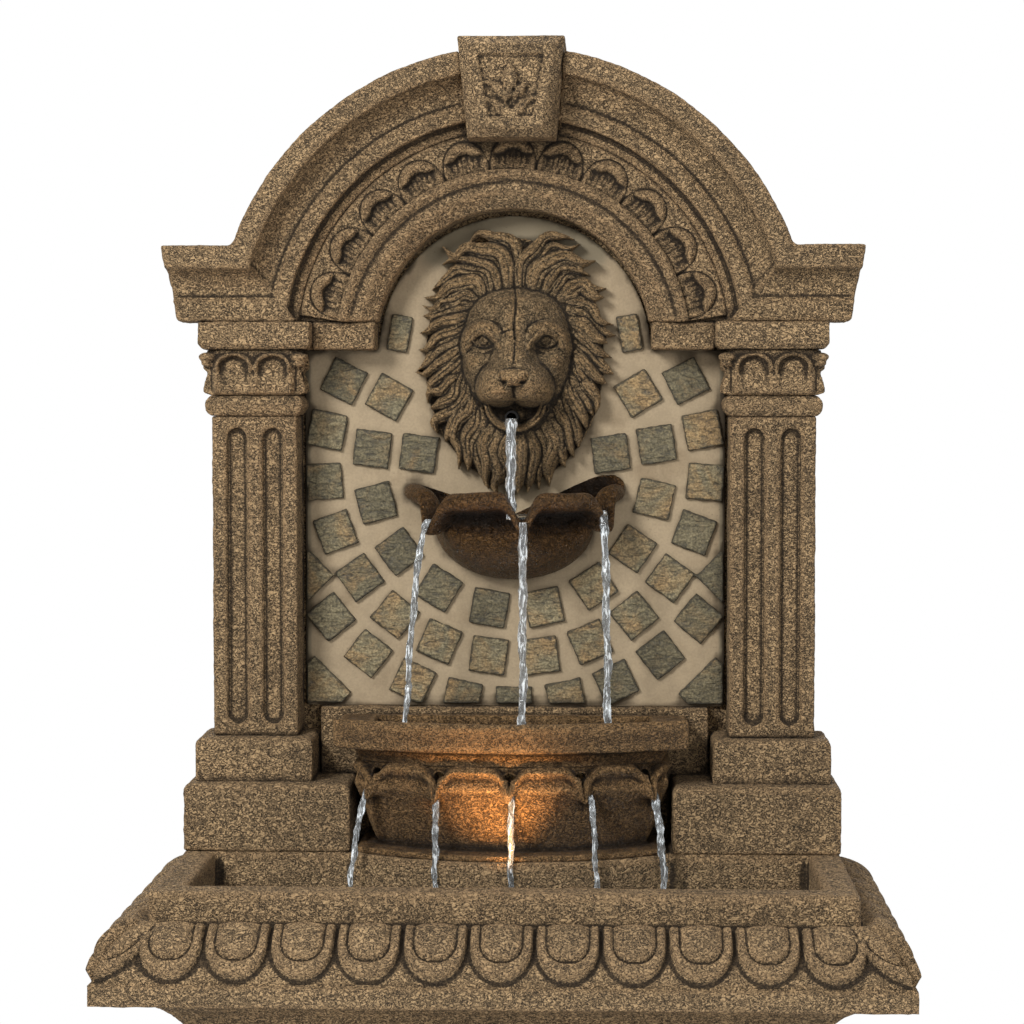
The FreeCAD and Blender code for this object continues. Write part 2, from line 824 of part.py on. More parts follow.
# Door, hinges, pull and catch
door = new_body("access_door")
pad_front(door, "door_face", rectangle(-size["door_half_width"], size["door_half_width"],
                                       size["door_bottom"],
                                       size["door_top"]), y_cover, y_cover_back)
hinge_x = -(size["door_half_width"] + size["hinge_offset"])
hinge_y = y_cover_back + size["hinge_rise"]
hinge_levels = (size["door_bottom"] + size["hinge_margin"], size["door_top"] - size["hinge_margin"])
leaf_half = size["hinge_leaf_length"] / 2
fixed_leaves = []
moving_leaves = []
pins = []
for index, level in enumerate(hinge_levels):
    bore = size["hinge_pin_radius"] + size["running_gap"]
    for word, low, direction, leaves in (("fixed", level - leaf_half, -1, fixed_leaves),
                                         ("moving", level, 1, moving_leaves)):
        barrel_low = low + 0.2
        barrel = cylinder("%s_barrel_%d" % (word, index), size["hinge_barrel"], leaf_half - 0.4, hinge_x,
                          hinge_y,
                          barrel_low)
        reach = size["hinge_leaf_width"]
        x_ends = (hinge_x - reach, hinge_x) if direction < 0 else (hinge_x, hinge_x + reach)
        flap = box("%s_flap_%d" % (word, index), x_ends[0], x_ends[1], y_cover_back,
                   y_cover_back + size["hinge_leaf_thickness"], barrel_low, low + leaf_half - 0.2)
        blank = fuse("%s_blank_%d" % (word, index), [barrel, flap])
        hole = cylinder("%s_hole_%d" % (word, index), bore, leaf_half, hinge_x, hinge_y, low)
        leaves.append(cut("%s_leaf_%d" % (word, index), blank, hole))
    pins.append(cylinder("hinge_pin_%d" % index, size["hinge_pin_radius"], size["hinge_leaf_length"],
                         hinge_x, hinge_y,
                         level - leaf_half))
keep(group("fixed_leaf_group", fixed_leaves), "hinge_leaves_fixed")
keep(group("moving_leaf_group", moving_leaves), "hinge_leaves_door")
keep(group("hinge_pin_group", pins), "hinge_pins")

door_middle = (size["door_bottom"] + size["door_top"]) / 2
pull_x = size["door_half_width"] - size["pull_inset"]
keep(box("pull_bar", pull_x - size["pull_width"] / 2, pull_x + size["pull_width"] / 2, y_cover_back,
         y_cover_back + size["pull_depth"], door_middle - size["pull_height"] / 2,
         door_middle + size["pull_height"] / 2), "door_pull")
catch_half = size["catch_half_height"]
catch_width = size["catch_width"]
keep(box("strike_plate", size["door_half_width"] - catch_width, size["door_half_width"] - 1.0,
         y_cover - size["strike_thickness"], y_cover, door_middle - catch_half, door_middle + catch_half),
         "door_strike")
magnet_base = box("magnet_base", opening_half, opening_half + catch_width, y_cover - size["magnet_depth"],
                  y_cover,
                  door_middle - catch_half, door_middle + catch_half)
magnet_face = box("magnet_face", size["door_half_width"] - catch_width, opening_half,
                  y_cover - size["magnet_depth"],
                  y_cover - size["strike_thickness"], door_middle - catch_half, door_middle + catch_half)
keep(fuse("magnet_whole", [magnet_base, magnet_face]), "door_magnet")

# Cable gland, the entry that a lead would pass through
gland = new_body("cable_gland")
flange_thickness = 3.0
gland_sketch = draw_outline(new_sketch(gland, "gland_profile", "YZ_Plane", 0.0), [
    (-flange_thickness, size["gland_bore"]),
    (size["cover_thickness"] + flange_thickness, size["gland_bore"]),
    (size["cover_thickness"] + flange_thickness, size["gland_flange"]),
    (size["cover_thickness"], size["gland_flange"]),
    (size["cover_thickness"], size["gland_radius"]),
    (Dim.of(0), size["gland_radius"]),
    (Dim.of(0), size["gland_flange"]),
    (-flange_thickness, size["gland_flange"]),
])
revolve(gland, gland_sketch, "Y_Axis", 360.0, False)
place(gland, size["gland_side"], y_cover, size["gland_height"])


# Tile panel and mosaic

panel = new_body("tile_panel")
panel_half = size["panel_half_width"]
opening = size["arch_inner"]
pad_front(panel, "panel_face", [
    (-panel_half, size["panel_bottom"]),
    (panel_half, size["panel_bottom"]),
    (panel_half, size["abacus_bottom"]),
    (opening, size["abacus_bottom"]),
    (opening, size["arch_centre"], opening * 1.0005, 1),
    (-opening, size["arch_centre"]),
    (-opening, size["abacus_bottom"]),
    (-panel_half, size["abacus_bottom"]),
], y_panel, y_wall)
holes_along_y(panel, "panel_spout_hole", [(Dim.of(0), size["mouth_height"])], spout_hole, y_wall,
              size["panel_thickness"])
holes_along_y(panel, "panel_mask_holes", mask_bolt_spots, mask_bolt_hole, y_wall, size["panel_thickness"])

y_tile = y_panel - size["tile_relief"]
tile_rings = (
    (size["tile_ring_one"], (172.0, 8.0)),
    (size["tile_ring_two"], tuple(151.0 + 21.8 * k for k in range(12))),
    (size["tile_ring_three"], tuple(153.4 + 15.55 * k for k in range(16))),
    (size["tile_ring_four"], tuple(219.3 + 12.65 * k for k in range(9))),
)


def tile_slab(name, x, z, turn, width, height):
    """One tile with its middle at x, z, turned in the plane of the panel."""
    slab = doc.addObject("Part::Box", name)
    bind(slab, "Length", width)
    bind(slab, "Width", size["tile_relief"])
    bind(slab, "Height", height)
    lean = math.radians(turn)
    corner_x = x - width * (math.cos(lean) / 2) - height * (math.sin(lean) / 2)
    corner_z = z - height * (math.cos(lean) / 2) + width * (math.sin(lean) / 2)
    return place(slab, corner_x, y_tile, corner_z, Y_AXIS, turn)


tiles = []
for ring, (radius, angles) in enumerate(tile_rings):
    for index, angle in enumerate(angles):
        x = radius * math.cos(math.radians(angle))
        z = size["tile_centre"] + radius * math.sin(math.radians(angle))
        tiles.append(tile_slab("tile_%d_%d" % (ring, index), x, z, 90.0 - angle, size["tile_size"],
                               size["tile_size"]))
slim_tiles = []
for side, word in ((-1, "left"), (1, "right")):
    edge_x = side * (panel_half - 4.0)
    tiles.append(tile_slab("edge_tile_" + word, edge_x, size["edge_tile_height"], 45.0,
                           size["tile_size"], size["tile_size"]))
    corner_x = side * (panel_half - 10.0)
    tiles.append(tile_slab("corner_tile_" + word, corner_x, size["panel_bottom"] + 14.0, 45.0,
                           size["corner_tile_size"], size["corner_tile_size"]))
    slim_x = side * size["slim_tile_side"]
    slim_tiles.append(tile_slab("slim_tile_" + word, slim_x, size["slim_tile_height"], -10.0 * side,
                                size["slim_tile_width"], size["tile_size"]))
tile_field = box("tile_field", -panel_half + 2.0, panel_half - 2.0, y_tile, y_panel,
                 size["panel_bottom"] + 3.0, size["abacus_bottom"] - 2.0)
fitted_tiles = common("fitted_tiles", group("tile_boxes", tiles), tile_field)
keep(group("tile_group", [fitted_tiles] + slim_tiles), "mosaic_tiles")


# Plinths, columns, capitals and cornice

def block_ends(side, inner, outer):
    return (inner, outer) if side > 0 else (-outer, -inner)


def hollow_from_back(body, name, x_low, x_high, z_low, z_high, y_front):
    shell = size["casting_wall"]
    pocket_back(body, name, rectangle(x_low + shell, x_high - shell, z_low + shell, z_high - shell), y_wall,
                y_wall - y_front - shell * 1.6)


for side, word in ((-1, "left"), (1, "right")):
    bevel = size["plinth_bevel"]
    x_low, x_high = block_ends(side, size["lower_plinth_inner"], rim_half)
    body = moulded_block("lower_plinth_" + word, x_low, x_high, y_plinth, y_wall, [
        (Dim.of(0), z_rim),
        (Dim.of(0), size["lower_plinth_top"] - bevel),
        (bevel, size["lower_plinth_top"]),
    ])
    hollow_from_back(body, "lower_plinth_hollow_" + word, x_low, x_high, z_rim, size["lower_plinth_top"],
                     y_plinth)

    y_front = y_wall - size["upper_plinth_reach"]
    x_low, x_high = block_ends(side, size["upper_plinth_inner"], size["upper_plinth_outer"])
    body = moulded_block("upper_plinth_" + word, x_low, x_high, y_front, y_wall, [
        (Dim.of(0), size["lower_plinth_top"]),
        (Dim.of(0), size["upper_plinth_top"] - bevel),
        (bevel, size["upper_plinth_top"]),
    ])
    hollow_from_back(body, "upper_plinth_hollow_" + word, x_low, x_high, size["lower_plinth_top"],
                     size["upper_plinth_top"], y_front)

    y_front = y_wall - size["column_reach"]
    x_low, x_high = block_ends(side, size["column_inner"], size["wall_half_width"])
    body = new_body("column_" + word)
    pad_front(body, "column_shaft_" + word, rectangle(x_low, x_high, size["upper_plinth_top"],
                                                      size["column_top"]),
              y_front, y_wall)
    hollow_from_back(body, "column_hollow_" + word, x_low, x_high, size["upper_plinth_top"],
                     size["column_top"],
                     y_front)
    flute_half = size["flute_width"] / 2
    flute_low = size["upper_plinth_top"] + size["flute_margin"] + flute_half
    flute_high = size["column_top"] - size["flute_margin"] - flute_half
    for lane in (-1, 1):
        middle = (x_low + x_high) / 2 + lane * size["flute_offset"]
        pocket_front(body, "flute_%s_%d" % (word, lane + 1), [
            (middle - flute_half, flute_low, flute_half * 1.001, 1),
            (middle + flute_half, flute_low),
            (middle + flute_half, flute_high, flute_half * 1.001, 1),
            (middle - flute_half, flute_high),
        ], y_front, size["flute_depth"])

    swell = size["necking_reach"]
    neck_top = size["column_top"] + size["necking_height"]
    neck_half = size["necking_height"] / 2
    neck_radius = (neck_half * neck_half + swell * swell) / (2.0 * swell)
    body = moulded_block("necking_" + word, x_low - swell, x_high + swell, y_front - swell, y_panel, [
        (swell, size["column_top"], neck_radius, 1),
        (swell, neck_top),
    ])
    pad_front(body, "necking_back_" + word, rectangle(x_low, x_high, size["column_top"], neck_top),
              y_panel - size["back_lap"], y_wall)

    flare = size["capital_flare"]
    capital_low = size["capital_height"] * 0.35
    capital_high = size["capital_height"] * 0.80
    flare_chord = capital_high - capital_low
    flare_radius = (flare_chord * flare_chord + flare * flare) / (2.0 * flare)
    overhang = size["abacus_overhang"]
    reach = overhang - size["capital_inset"]
    body = moulded_block("capital_" + word, x_low - reach, x_high + reach, y_front - reach, y_panel, [
        (flare, neck_top),
        (flare, neck_top + capital_low, flare_radius, -1),
        (Dim.of(0), neck_top + capital_high),
        (Dim.of(0), size["abacus_bottom"]),
    ])
    pad_front(body, "capital_back_" + word, rectangle(x_low, x_high, neck_top, size["abacus_bottom"]),
              y_panel - size["back_lap"], y_wall)

    bevel = size["abacus_bevel"]
    abacus_low, abacus_high = block_ends(side, size["column_inner"] - overhang,
                                         size["wall_half_width"] + overhang * 0.75)
    moulded_block("abacus_" + word, abacus_low, abacus_high, y_front - overhang, y_wall, [
        (bevel, size["abacus_bottom"]),
        (Dim.of(0), size["abacus_bottom"] + bevel),
        (Dim.of(0), size["abacus_top"]),
    ])

    impost_low, impost_high = block_ends(side, size["arch_inner"], size["column_inner"] - overhang)
    body = new_body("impost_" + word)
    pad_front(body, "impost_face_" + word, rectangle(impost_low, impost_high, size["abacus_bottom"],
                                                     size["abacus_top"]),
              y_wall - size["impost_reach"], y_wall)


# Arch moulding and cornice share one profile
y_fascia = y_wall - size["cornice_reach"]
y_cove_out = y_fascia + size["moulding_step"]
y_cove_in = y_cove_out + size["cove_depth"]
y_bead = y_cove_in - size["bead_step"]


def hollow_radius(first, second):
    """The radius of a quarter-like hollow that falls by the cove depth over the given run."""
    run = first - second
    drop = size["cove_depth"]
    return (run * run + drop * drop) / (2.0 * drop) * 1.02


spring_rise = size["abacus_top"] - size["arch_centre"]
top_rise = size["cornice_top"] - size["arch_centre"]
groove = size["arch_groove"]
outer = size["arch_outer"]
mitre_low_x = (groove * groove - spring_rise * spring_rise).root()
mitre_top_x = (outer * outer - top_rise * top_rise).root()

arch = new_body("arch_moulding")
arch_profile = draw_outline(new_sketch(arch, "arch_profile", "YZ_Plane", 0.0), [
    (y_wall, size["arch_inner"]),
    (y_wall, size["arch_outer"]),
    (y_fascia, size["arch_outer"]),
    (y_fascia, size["arch_fascia"]),
    (y_cove_out, size["arch_fascia"], hollow_radius(size["arch_fascia"], size["arch_cove"]), -1),
    (y_cove_in, size["arch_cove"]),
    (y_bead, size["arch_cove"]),
    (y_bead, size["arch_bead"]),
    (y_wall - size["groove_reach"], size["arch_bead"]),
    (y_wall - size["groove_reach"], size["arch_groove"]),
    (y_wall - size["field_reach"], size["arch_groove"]),
    (y_wall - size["field_reach"], size["arch_field"]),
    (y_wall - size["band_reach"], size["arch_field"]),
    (y_wall - size["band_reach"], size["arch_band"]),
    (y_wall - size["reveal_reach"], size["arch_inner"]),
])
revolve(arch, arch_profile, "Y_Axis", 180.0, True)
mitre_run = mitre_top_x - mitre_low_x
mitre_rise = top_rise - spring_rise
far = size["cornice_half_width"] + 20.0
for side, word in ((-1, "left"), (1, "right")):
    edge = [
        (size["arch_inner"] - 30.0, -30.0),
        (far, -30.0),
        (far, top_rise + mitre_rise * 0.4),
        (mitre_top_x + mitre_run * 0.4, top_rise + mitre_rise * 0.4),
        (mitre_low_x, spring_rise),
        (size["arch_inner"] - 30.0, spring_rise),
    ]
    if side < 0:
        edge = [(-Dim.of(u), v) for u, v in reversed(edge)]
    pocket_back(arch, "arch_foot_" + word, edge, y_wall, y_wall - y_fascia + 5.0)
key_low = size["arch_field"] + 2.0 * size["leaf_half_length"] + 0.5 + size["keystone_leaf_gap"]
key_high = key_low + size["keystone_height"]
keystone_bottom = size["arch_centre"] + key_low
keystone_top = size["arch_centre"] + key_high
pocket_back(arch, "arch_key_gap", [
    (-size["keystone_bottom_half"], key_low),
    (size["keystone_bottom_half"], key_low),
    (size["keystone_top_half"], key_high),
    (-size["keystone_top_half"], key_high),
], y_wall, y_wall - y_fascia + 5.0)
place(arch, 0.0, 0.0, size["arch_centre"])

z_fascia = size["cornice_top"] - size["cornice_fascia"]
z_cove = z_fascia - size["cornice_cove"]
cove_radius = hollow_radius(size["cornice_fascia"] + size["cornice_cove"], size["cornice_fascia"])
for side, word in ((-1, "left"), (1, "right")):
    body = new_body("cornice_" + word)
    end = size["cornice_half_width"]
    outline = [
        (mitre_low_x, size["abacus_top"]),
        (end - size["cornice_slant"], size["abacus_top"]),
        (end, size["cornice_top"]),
        (mitre_top_x, size["cornice_top"]),
    ]
    if side < 0:
        outline = [(-Dim.of(point[0]), point[1]) for point in reversed(outline)]
    pad_front(body, "cornice_sides_" + word, outline, y_fascia, y_wall)
    margin = 15.0
    front = [
        (y_fascia - margin, size["abacus_top"] - margin),
        (y_bead, size["abacus_top"] - margin),
        (y_bead, z_cove),
        (y_cove_in, z_cove, cove_radius, 1),
        (y_cove_out, z_fascia),
        (y_fascia, z_fascia),
        (y_fascia, size["cornice_top"] + margin),
        (y_fascia - margin, size["cornice_top"] + margin),
    ]
    start = -far if side < 0 else Dim.of(margin)
    sketch = draw_outline(new_sketch(body, "cornice_front_" + word, "YZ_Plane", start), front)
    pocket(body, sketch, far, reverse=True)

# Keystone
keystone = new_body("keystone")
y_key = y_wall - size["keystone_reach"]
key_outline = [
    (-size["keystone_bottom_half"], keystone_bottom),
    (size["keystone_bottom_half"], keystone_bottom),
    (size["keystone_top_half"], keystone_top),
    (-size["keystone_top_half"], keystone_top),
]
pad_front(keystone, "keystone_block", key_outline, y_key, y_wall)
bevel_sketch = draw_outline(new_sketch(keystone, "keystone_bevel", "XZ_Plane", -y_key), key_outline)
bevel_pad = pad(keystone, bevel_sketch, size["keystone_bevel"])
bevel_pad.TaperAngle = -40.0
y_key_face = y_key - size["keystone_bevel"]
inset = size["keystone_panel_inset"]
pocket_front(keystone, "keystone_panel", [
    (-size["keystone_bottom_half"] + inset, keystone_bottom + inset),
    (size["keystone_bottom_half"] - inset, keystone_bottom + inset),
    (size["keystone_top_half"] - inset, keystone_top - inset),
    (-size["keystone_top_half"] + inset, keystone_top - inset),
], y_key_face, size["keystone_panel_depth"])

# Leaf ornaments round the arch
leaf_radius = size["arch_field"] + size["leaf_half_length"] + 0.5
y_field = y_wall - size["field_reach"]
leaves = []
for index in range(-5, 6):
    turn = index * size["leaf_angle"]
    dome = ellipsoid("leaf_dome_%d" % (index + 5), size["leaf_relief"], size["leaf_half_width"],
                     size["leaf_half_length"],
                     0.0, y_field, leaf_radius, X_AXIS, 90.0, half=True)
    leaf = doc.addObject("Part::Compound", "leaf_%d" % (index + 5))
    leaf.Links = [dome]
    place(leaf, 0.0, 0.0, size["arch_centre"], Y_AXIS, turn)
    leaves.append(leaf)
keep(group("leaf_group", leaves), "leaf_ornaments")


# Lion mask

lion_z = size["mouth_height"] + size["lion_rise"]
lion_w = size["lion_half_width"]
lion_h = size["lion_half_height"]
relief = size["lion_relief"]
mouth_z = size["mouth_height"]
muzzle = size["muzzle_reach"]
lion_parts = [
    ellipsoid("lion_mane", lion_h, lion_w, relief, 0.0, y_panel, lion_z),
    ellipsoid("lion_crown", lion_h * 0.40, lion_w * 0.72, relief * 1.15, 0.0, y_panel,
              lion_z + lion_h * 0.52),
    ellipsoid("lion_face", lion_h * 0.62, lion_w * 0.62, relief * 1.45, 0.0, y_panel,
              lion_z - lion_h * 0.06),
    ellipsoid("lion_muzzle", lion_h * 0.30, lion_w * 0.42, muzzle, 0.0, y_panel, lion_z - lion_h * 0.27),
    ellipsoid("lion_nose", lion_h * 0.12, lion_w * 0.20, muzzle * 0.30, 0.0, y_panel - muzzle * 0.72,
              lion_z - lion_h * 0.19),
    ellipsoid("lion_chin", lion_h * 0.20, lion_w * 0.30, muzzle * 0.82, 0.0, y_panel,
              lion_z - lion_h * 0.64),
    ellipsoid("lion_beard", lion_h * 0.42, lion_w * 0.55, relief * 1.1, 0.0, y_panel,
              lion_z - lion_h * 0.70),
    ellipsoid("lion_brow_left", lion_h * 0.13, lion_w * 0.24, relief * 0.55, -lion_w * 0.33,
              y_panel - relief * 0.98,
              lion_z + lion_h * 0.20),
    ellipsoid("lion_brow_right", lion_h * 0.13, lion_w * 0.24, relief * 0.55, lion_w * 0.33,
              y_panel - relief * 0.98,
              lion_z + lion_h * 0.20),
]
lion_blank = fuse("lion_blank", lion_parts)
lion_back = box("lion_back", -2 * lion_w, 2 * lion_w, y_panel, y_panel + 2 * muzzle, lion_z - 2 * lion_h,
                lion_z + 2 * lion_h)
spout_bore = cylinder("lion_spout_bore", spout_hole, 2 * muzzle, 0.0, y_panel, mouth_z, X_AXIS, 90.0)
mouth_cut = ellipsoid("lion_mouth", lion_h * 0.085, lion_w * 0.20, muzzle * 0.55, 0.0,
                      y_panel - muzzle * 0.95, mouth_z)
lion_cuts = [lion_back, spout_bore, mouth_cut]
for index, (x, z) in enumerate(mask_bolt_spots):
    lion_cuts.append(cylinder("lion_bolt_bore_%d" % index, mask_bolt_hole, size["mask_bolt_depth"] + 2.0,
                              x, y_panel, z, X_AXIS, 90.0))
keep(cut("lion_solid", lion_blank, fuse("lion_cuts", lion_cuts)), "lion_mask")

mask_bolts = []
for index, (x, z) in enumerate(mask_bolt_spots):
    shank = cylinder("mask_shank_%d" % index, size["mask_bolt_radius"],
                     y_cavity - y_panel + size["mask_bolt_depth"], x, y_cavity, z,
                     X_AXIS, 90.0)
    head = cylinder("mask_head_%d" % index, size["bolt_head"], 4.0, x, y_cavity + 4.0, z, X_AXIS, 90.0)
    mask_bolts.append(fuse("mask_bolt_%d" % index, [shank, head]))
keep(group("mask_bolt_group", mask_bolts), "mask_bolts")

# Mouth spout with its hose barb
y_spout = y_panel - size["spout_reach"]
barb_low = mouth_z - size["barb_length"]
barb_radius = size["hose_radius"] - 2.0
spout_tube = cylinder("spout_tube", size["spout_radius"], y_hose + size["spout_radius"] - y_spout, 0.0,
                      y_hose + size["spout_radius"], mouth_z, X_AXIS, 90.0)
spout_barb = cylinder("spout_barb", barb_radius, mouth_z - barb_low, 0.0, y_hose, barb_low)
spout_way = cylinder("spout_way", size["spout_bore"], y_hose - y_spout, 0.0, y_hose, mouth_z, X_AXIS, 90.0)
barb_way = cylinder("barb_way", barb_radius - size["barb_wall"], mouth_z - barb_low, 0.0, y_hose, barb_low)
keep(cut("spout_piece", fuse("spout_outside", [spout_tube, spout_barb]),
         fuse("spout_inside", [spout_way, barb_way])),
     "mouth_spout")


# Upper bowl

upper = doc.addObject("PartDesign::Body", "upper_bowl_body")
lip = size["upper_bowl_lip"]
neck = size["upper_bowl_neck"]
foot = size["upper_bowl_foot"]
thick = size["upper_bowl_wall"]
bowl_low = size["upper_bowl_bottom"]
bowl_high = size["upper_bowl_top"]
neck_z = bowl_high - 24.0
upper_sketch = draw_outline(new_sketch(upper, "upper_bowl_profile", "YZ_Plane", 0.0), [
    (Dim.of(0), bowl_low),
    (Dim.of(0), bowl_low + thick),
    (-(foot - thick * 0.5), bowl_low + thick, size["upper_bowl_curve"] - thick, -1),
    (-(neck - thick), neck_z),
    (-(lip - thick * 1.6), bowl_high),
    (-lip, bowl_high),
    (-lip, bowl_high - thick),
    (-neck, neck_z, size["upper_bowl_curve"], 1),
    (-foot, bowl_low),
])
revolve(upper, upper_sketch, "Z_Axis", 180.0, True)
place(upper, 0.0, y_panel, 0.0)
notches = []
for index, turn in enumerate((-62.0, 4.0, 60.0)):
    across = math.sin(math.radians(turn))
    forward = math.cos(math.radians(turn))
    notch = doc.addObject("Part::Cylinder", "upper_notch_%d" % index)
    bind(notch, "Radius", size["upper_bowl_notch"])
    bind(notch, "Height", size["upper_bowl_lip"])
    start_x = lip * (0.4 * across)
    start_y = y_panel - lip * (0.4 * forward)
    notch.Placement = Placement(Vector(start_x.number, start_y.number, bowl_high.number),
                                Rotation(Z_AXIS, Vector(across, -forward, -0.12)))
    bind(notch, "Placement.Base.x", start_x)
    bind(notch, "Placement.Base.y", start_y)
    bind(notch, "Placement.Base.z", bowl_high)
    notches.append(notch)
keep(cut("upper_bowl_cut", upper, fuse("upper_notches", notches)), "upper_bowl")


# Apron, spout bowl and shelf

apron = new_body("apron")
y_apron = y_wall - size["apron_reach"]
apron_low_half = size["lower_plinth_inner"] - size["apron_gap"] / 2
apron_half = size["upper_plinth_inner"] - size["apron_gap"]
pad_front(apron, "apron_face", [
    (-apron_low_half, z_rim),
    (apron_low_half, z_rim),
    (apron_low_half, size["lower_plinth_top"]),
    (apron_half, size["lower_plinth_top"]),
    (apron_half, size["panel_bottom"]),
    (-apron_half, size["panel_bottom"]),
    (-apron_half, size["lower_plinth_top"]),
    (-apron_low_half, size["lower_plinth_top"]),
], y_apron, y_wall)


def plan_outline(half, y_front, sag, y_rear):
    """A plan with straight sides, a straight back and a shallow curved front."""
    half, sag = Dim.of(half), Dim.of(sag)
    radius = (half * half + sag * sag) / (2.0 * sag)
    y_corner = Dim.of(y_front) + sag
    return [(half, y_rear), (-half, y_rear), (-half, y_corner, radius, 1), (half, y_corner)]


def plan_loft(body, name, sections, kind):
    """Joins plan sections (height, outline) by straight rulings, adding or removing material."""
    sketches = []
    for index, (height, outline) in enumerate(sections):
        sketch = new_sketch(body, "%s_%d" % (name, index), "XY_Plane", height)
        sketches.append(draw_outline(sketch, outline))
    feature = body.newObject(kind, name)
    feature.Profile = sketches[0]
    feature.Sections = [(sketch, [""]) for sketch in sketches[1:]]
    feature.Ruled = True
    body.Tip = feature
    return feature


spout_bowl = doc.addObject("PartDesign::Body", "spout_bowl_body")
reach = size["spout_bowl_reach"]
sag = size["spout_bowl_sag"]
collar_z = size["spout_hole_height"] - 10.0
bowl_sections = (
    (z_rim, size["spout_bowl_base"], y_apron - reach + 24.0),
    (collar_z - 22.0, size["spout_bowl_waist"], y_apron - reach + 12.0),
    (collar_z, size["spout_bowl_collar"], y_apron - reach),
    (size["spout_bowl_top"], size["spout_bowl_collar"] - 4.0, y_apron - reach + 4.0),
)
plan_loft(spout_bowl, "spout_bowl_outside",
          [(height, plan_outline(half, front, sag, y_apron)) for height, half, front in bowl_sections],
          "PartDesign::AdditiveLoft")
inset = size["spout_bowl_wall"]
inner_sections = (
    (z_rim + inset, size["spout_bowl_base"] - inset, y_apron - reach + 24.0 + inset),
    (size["spout_bowl_top"] + 1.0, size["spout_bowl_collar"] - 4.0 - inset, y_apron - reach + 4.0 + inset),
)
plan_loft(spout_bowl, "spout_bowl_inside",
          [(height, plan_outline(half, front, sag, y_apron - inset)) for height, half,
           front in inner_sections],
          "PartDesign::SubtractiveLoft")
spout_holes = []
hole_z = size["spout_hole_height"]
front_radius = (size["spout_bowl_collar"] * size["spout_bowl_collar"] + sag * sag) / (2.0 * sag)
front_centre = y_apron - reach + front_radius
for index, share in enumerate((-0.88, -0.46, 0.0, 0.46, 0.88)):
    spot_x = size["spout_bowl_collar"] * share
    spot_y = front_centre - (front_radius * front_radius - spot_x * spot_x).root()
    hole = doc.addObject("Part::Cylinder", "spout_hole_%d" % index)
    bind(hole, "Radius", size["spout_hole"])
    bind(hole, "Height", 60.0)
    slant = share * 0.55
    hole.Placement = Placement(Vector(spot_x.number - 30.0 * slant, spot_y.number + 30.0,
                                      hole_z.number + 3.0),
                               Rotation(Z_AXIS, Vector(slant, -1.0, -0.1)))
    bind(hole, "Placement.Base.x", spot_x - 30.0 * slant)
    bind(hole, "Placement.Base.y", spot_y + 30.0)
    bind(hole, "Placement.Base.z", hole_z + 3.0)
    spout_holes.append(hole)
keep(cut("spout_bowl_cut", spout_bowl, group("spout_hole_group", spout_holes)), "spout_bowl")

shelf = new_body("shelf_rim")
shelf_front = y_apron - size["shelf_reach"]
neck_front = y_apron - reach + 4.0
plan_loft(shelf, "shelf_neck", [
    (size["spout_bowl_top"], plan_outline(size["spout_bowl_collar"] - 4.0, neck_front, sag, y_apron)),
    (size["shelf_bottom"], plan_outline(size["shelf_neck"], neck_front - 4.0, size["shelf_sag"], y_apron)),
], "PartDesign::AdditiveLoft")
band = draw_outline(new_sketch(shelf, "shelf_band", "XY_Plane", size["shelf_bottom"]),
                    plan_outline(size["shelf_half_width"], shelf_front, size["shelf_sag"], y_apron))
pad(shelf, band, size["shelf_top"] - size["shelf_bottom"])
shelf_hole_half = size["spout_bowl_collar"] - 4.0 - inset
pocket_down(shelf, "shelf_opening", plan_outline(shelf_hole_half, neck_front + inset, sag, y_apron - inset),
            size["shelf_top"], size["shelf_top"] - size["spout_bowl_top"])


# Pump

pump_half = size["pump_width"] / 2
pump_back = chamber_back - size["pump_back_gap"]
pump_front = pump_back - size["pump_depth"]
pump_low = z_floor + size["pump_foot_height"]
pump_high = pump_low + size["pump_height"]
axle_y = (pump_front + pump_back) / 2
axle_z = pump_low + size["pump_height"] / 2
pump = doc.addObject("PartDesign::Body", "pump_body")
pad_front(pump, "pump_block", rectangle(-pump_half, pump_half, pump_low, pump_high), pump_front, pump_back)
volute_sketch = draw_circle(new_sketch(pump, "pump_volute", "YZ_Plane", -pump_half), axle_y, axle_z,
                            size["volute_radius"])
pocket(pump, volute_sketch, size["volute_depth"], reverse=True)
rotor_sketch = draw_circle(new_sketch(pump, "pump_rotor_bore", "YZ_Plane", -pump_half), axle_y, axle_z,
                           size["rotor_bore"])
rotor_depth = size["volute_depth"] + size["rotor_length"]
pocket(pump, rotor_sketch, rotor_depth, reverse=True)
socket_sketch = draw_circle(new_sketch(pump, "pump_socket", "YZ_Plane", -pump_half), axle_y, axle_z,
                            size["shaft_radius"] + size["running_gap"])
socket_depth = 8.0
pocket(pump, socket_sketch, rotor_depth + socket_depth, reverse=True)
nozzle = cylinder("pump_nozzle", size["outlet_radius"], size["outlet_height"], 0.0, y_hose, pump_high)
nozzle_bore = cylinder("pump_nozzle_bore", size["outlet_bore"], size["outlet_height"] + 8.0, 0.0, y_hose,
                       pump_high - 8.0)
keep(cut("pump_piece", fuse("pump_outside", [pump, nozzle]), nozzle_bore), "pump_housing")

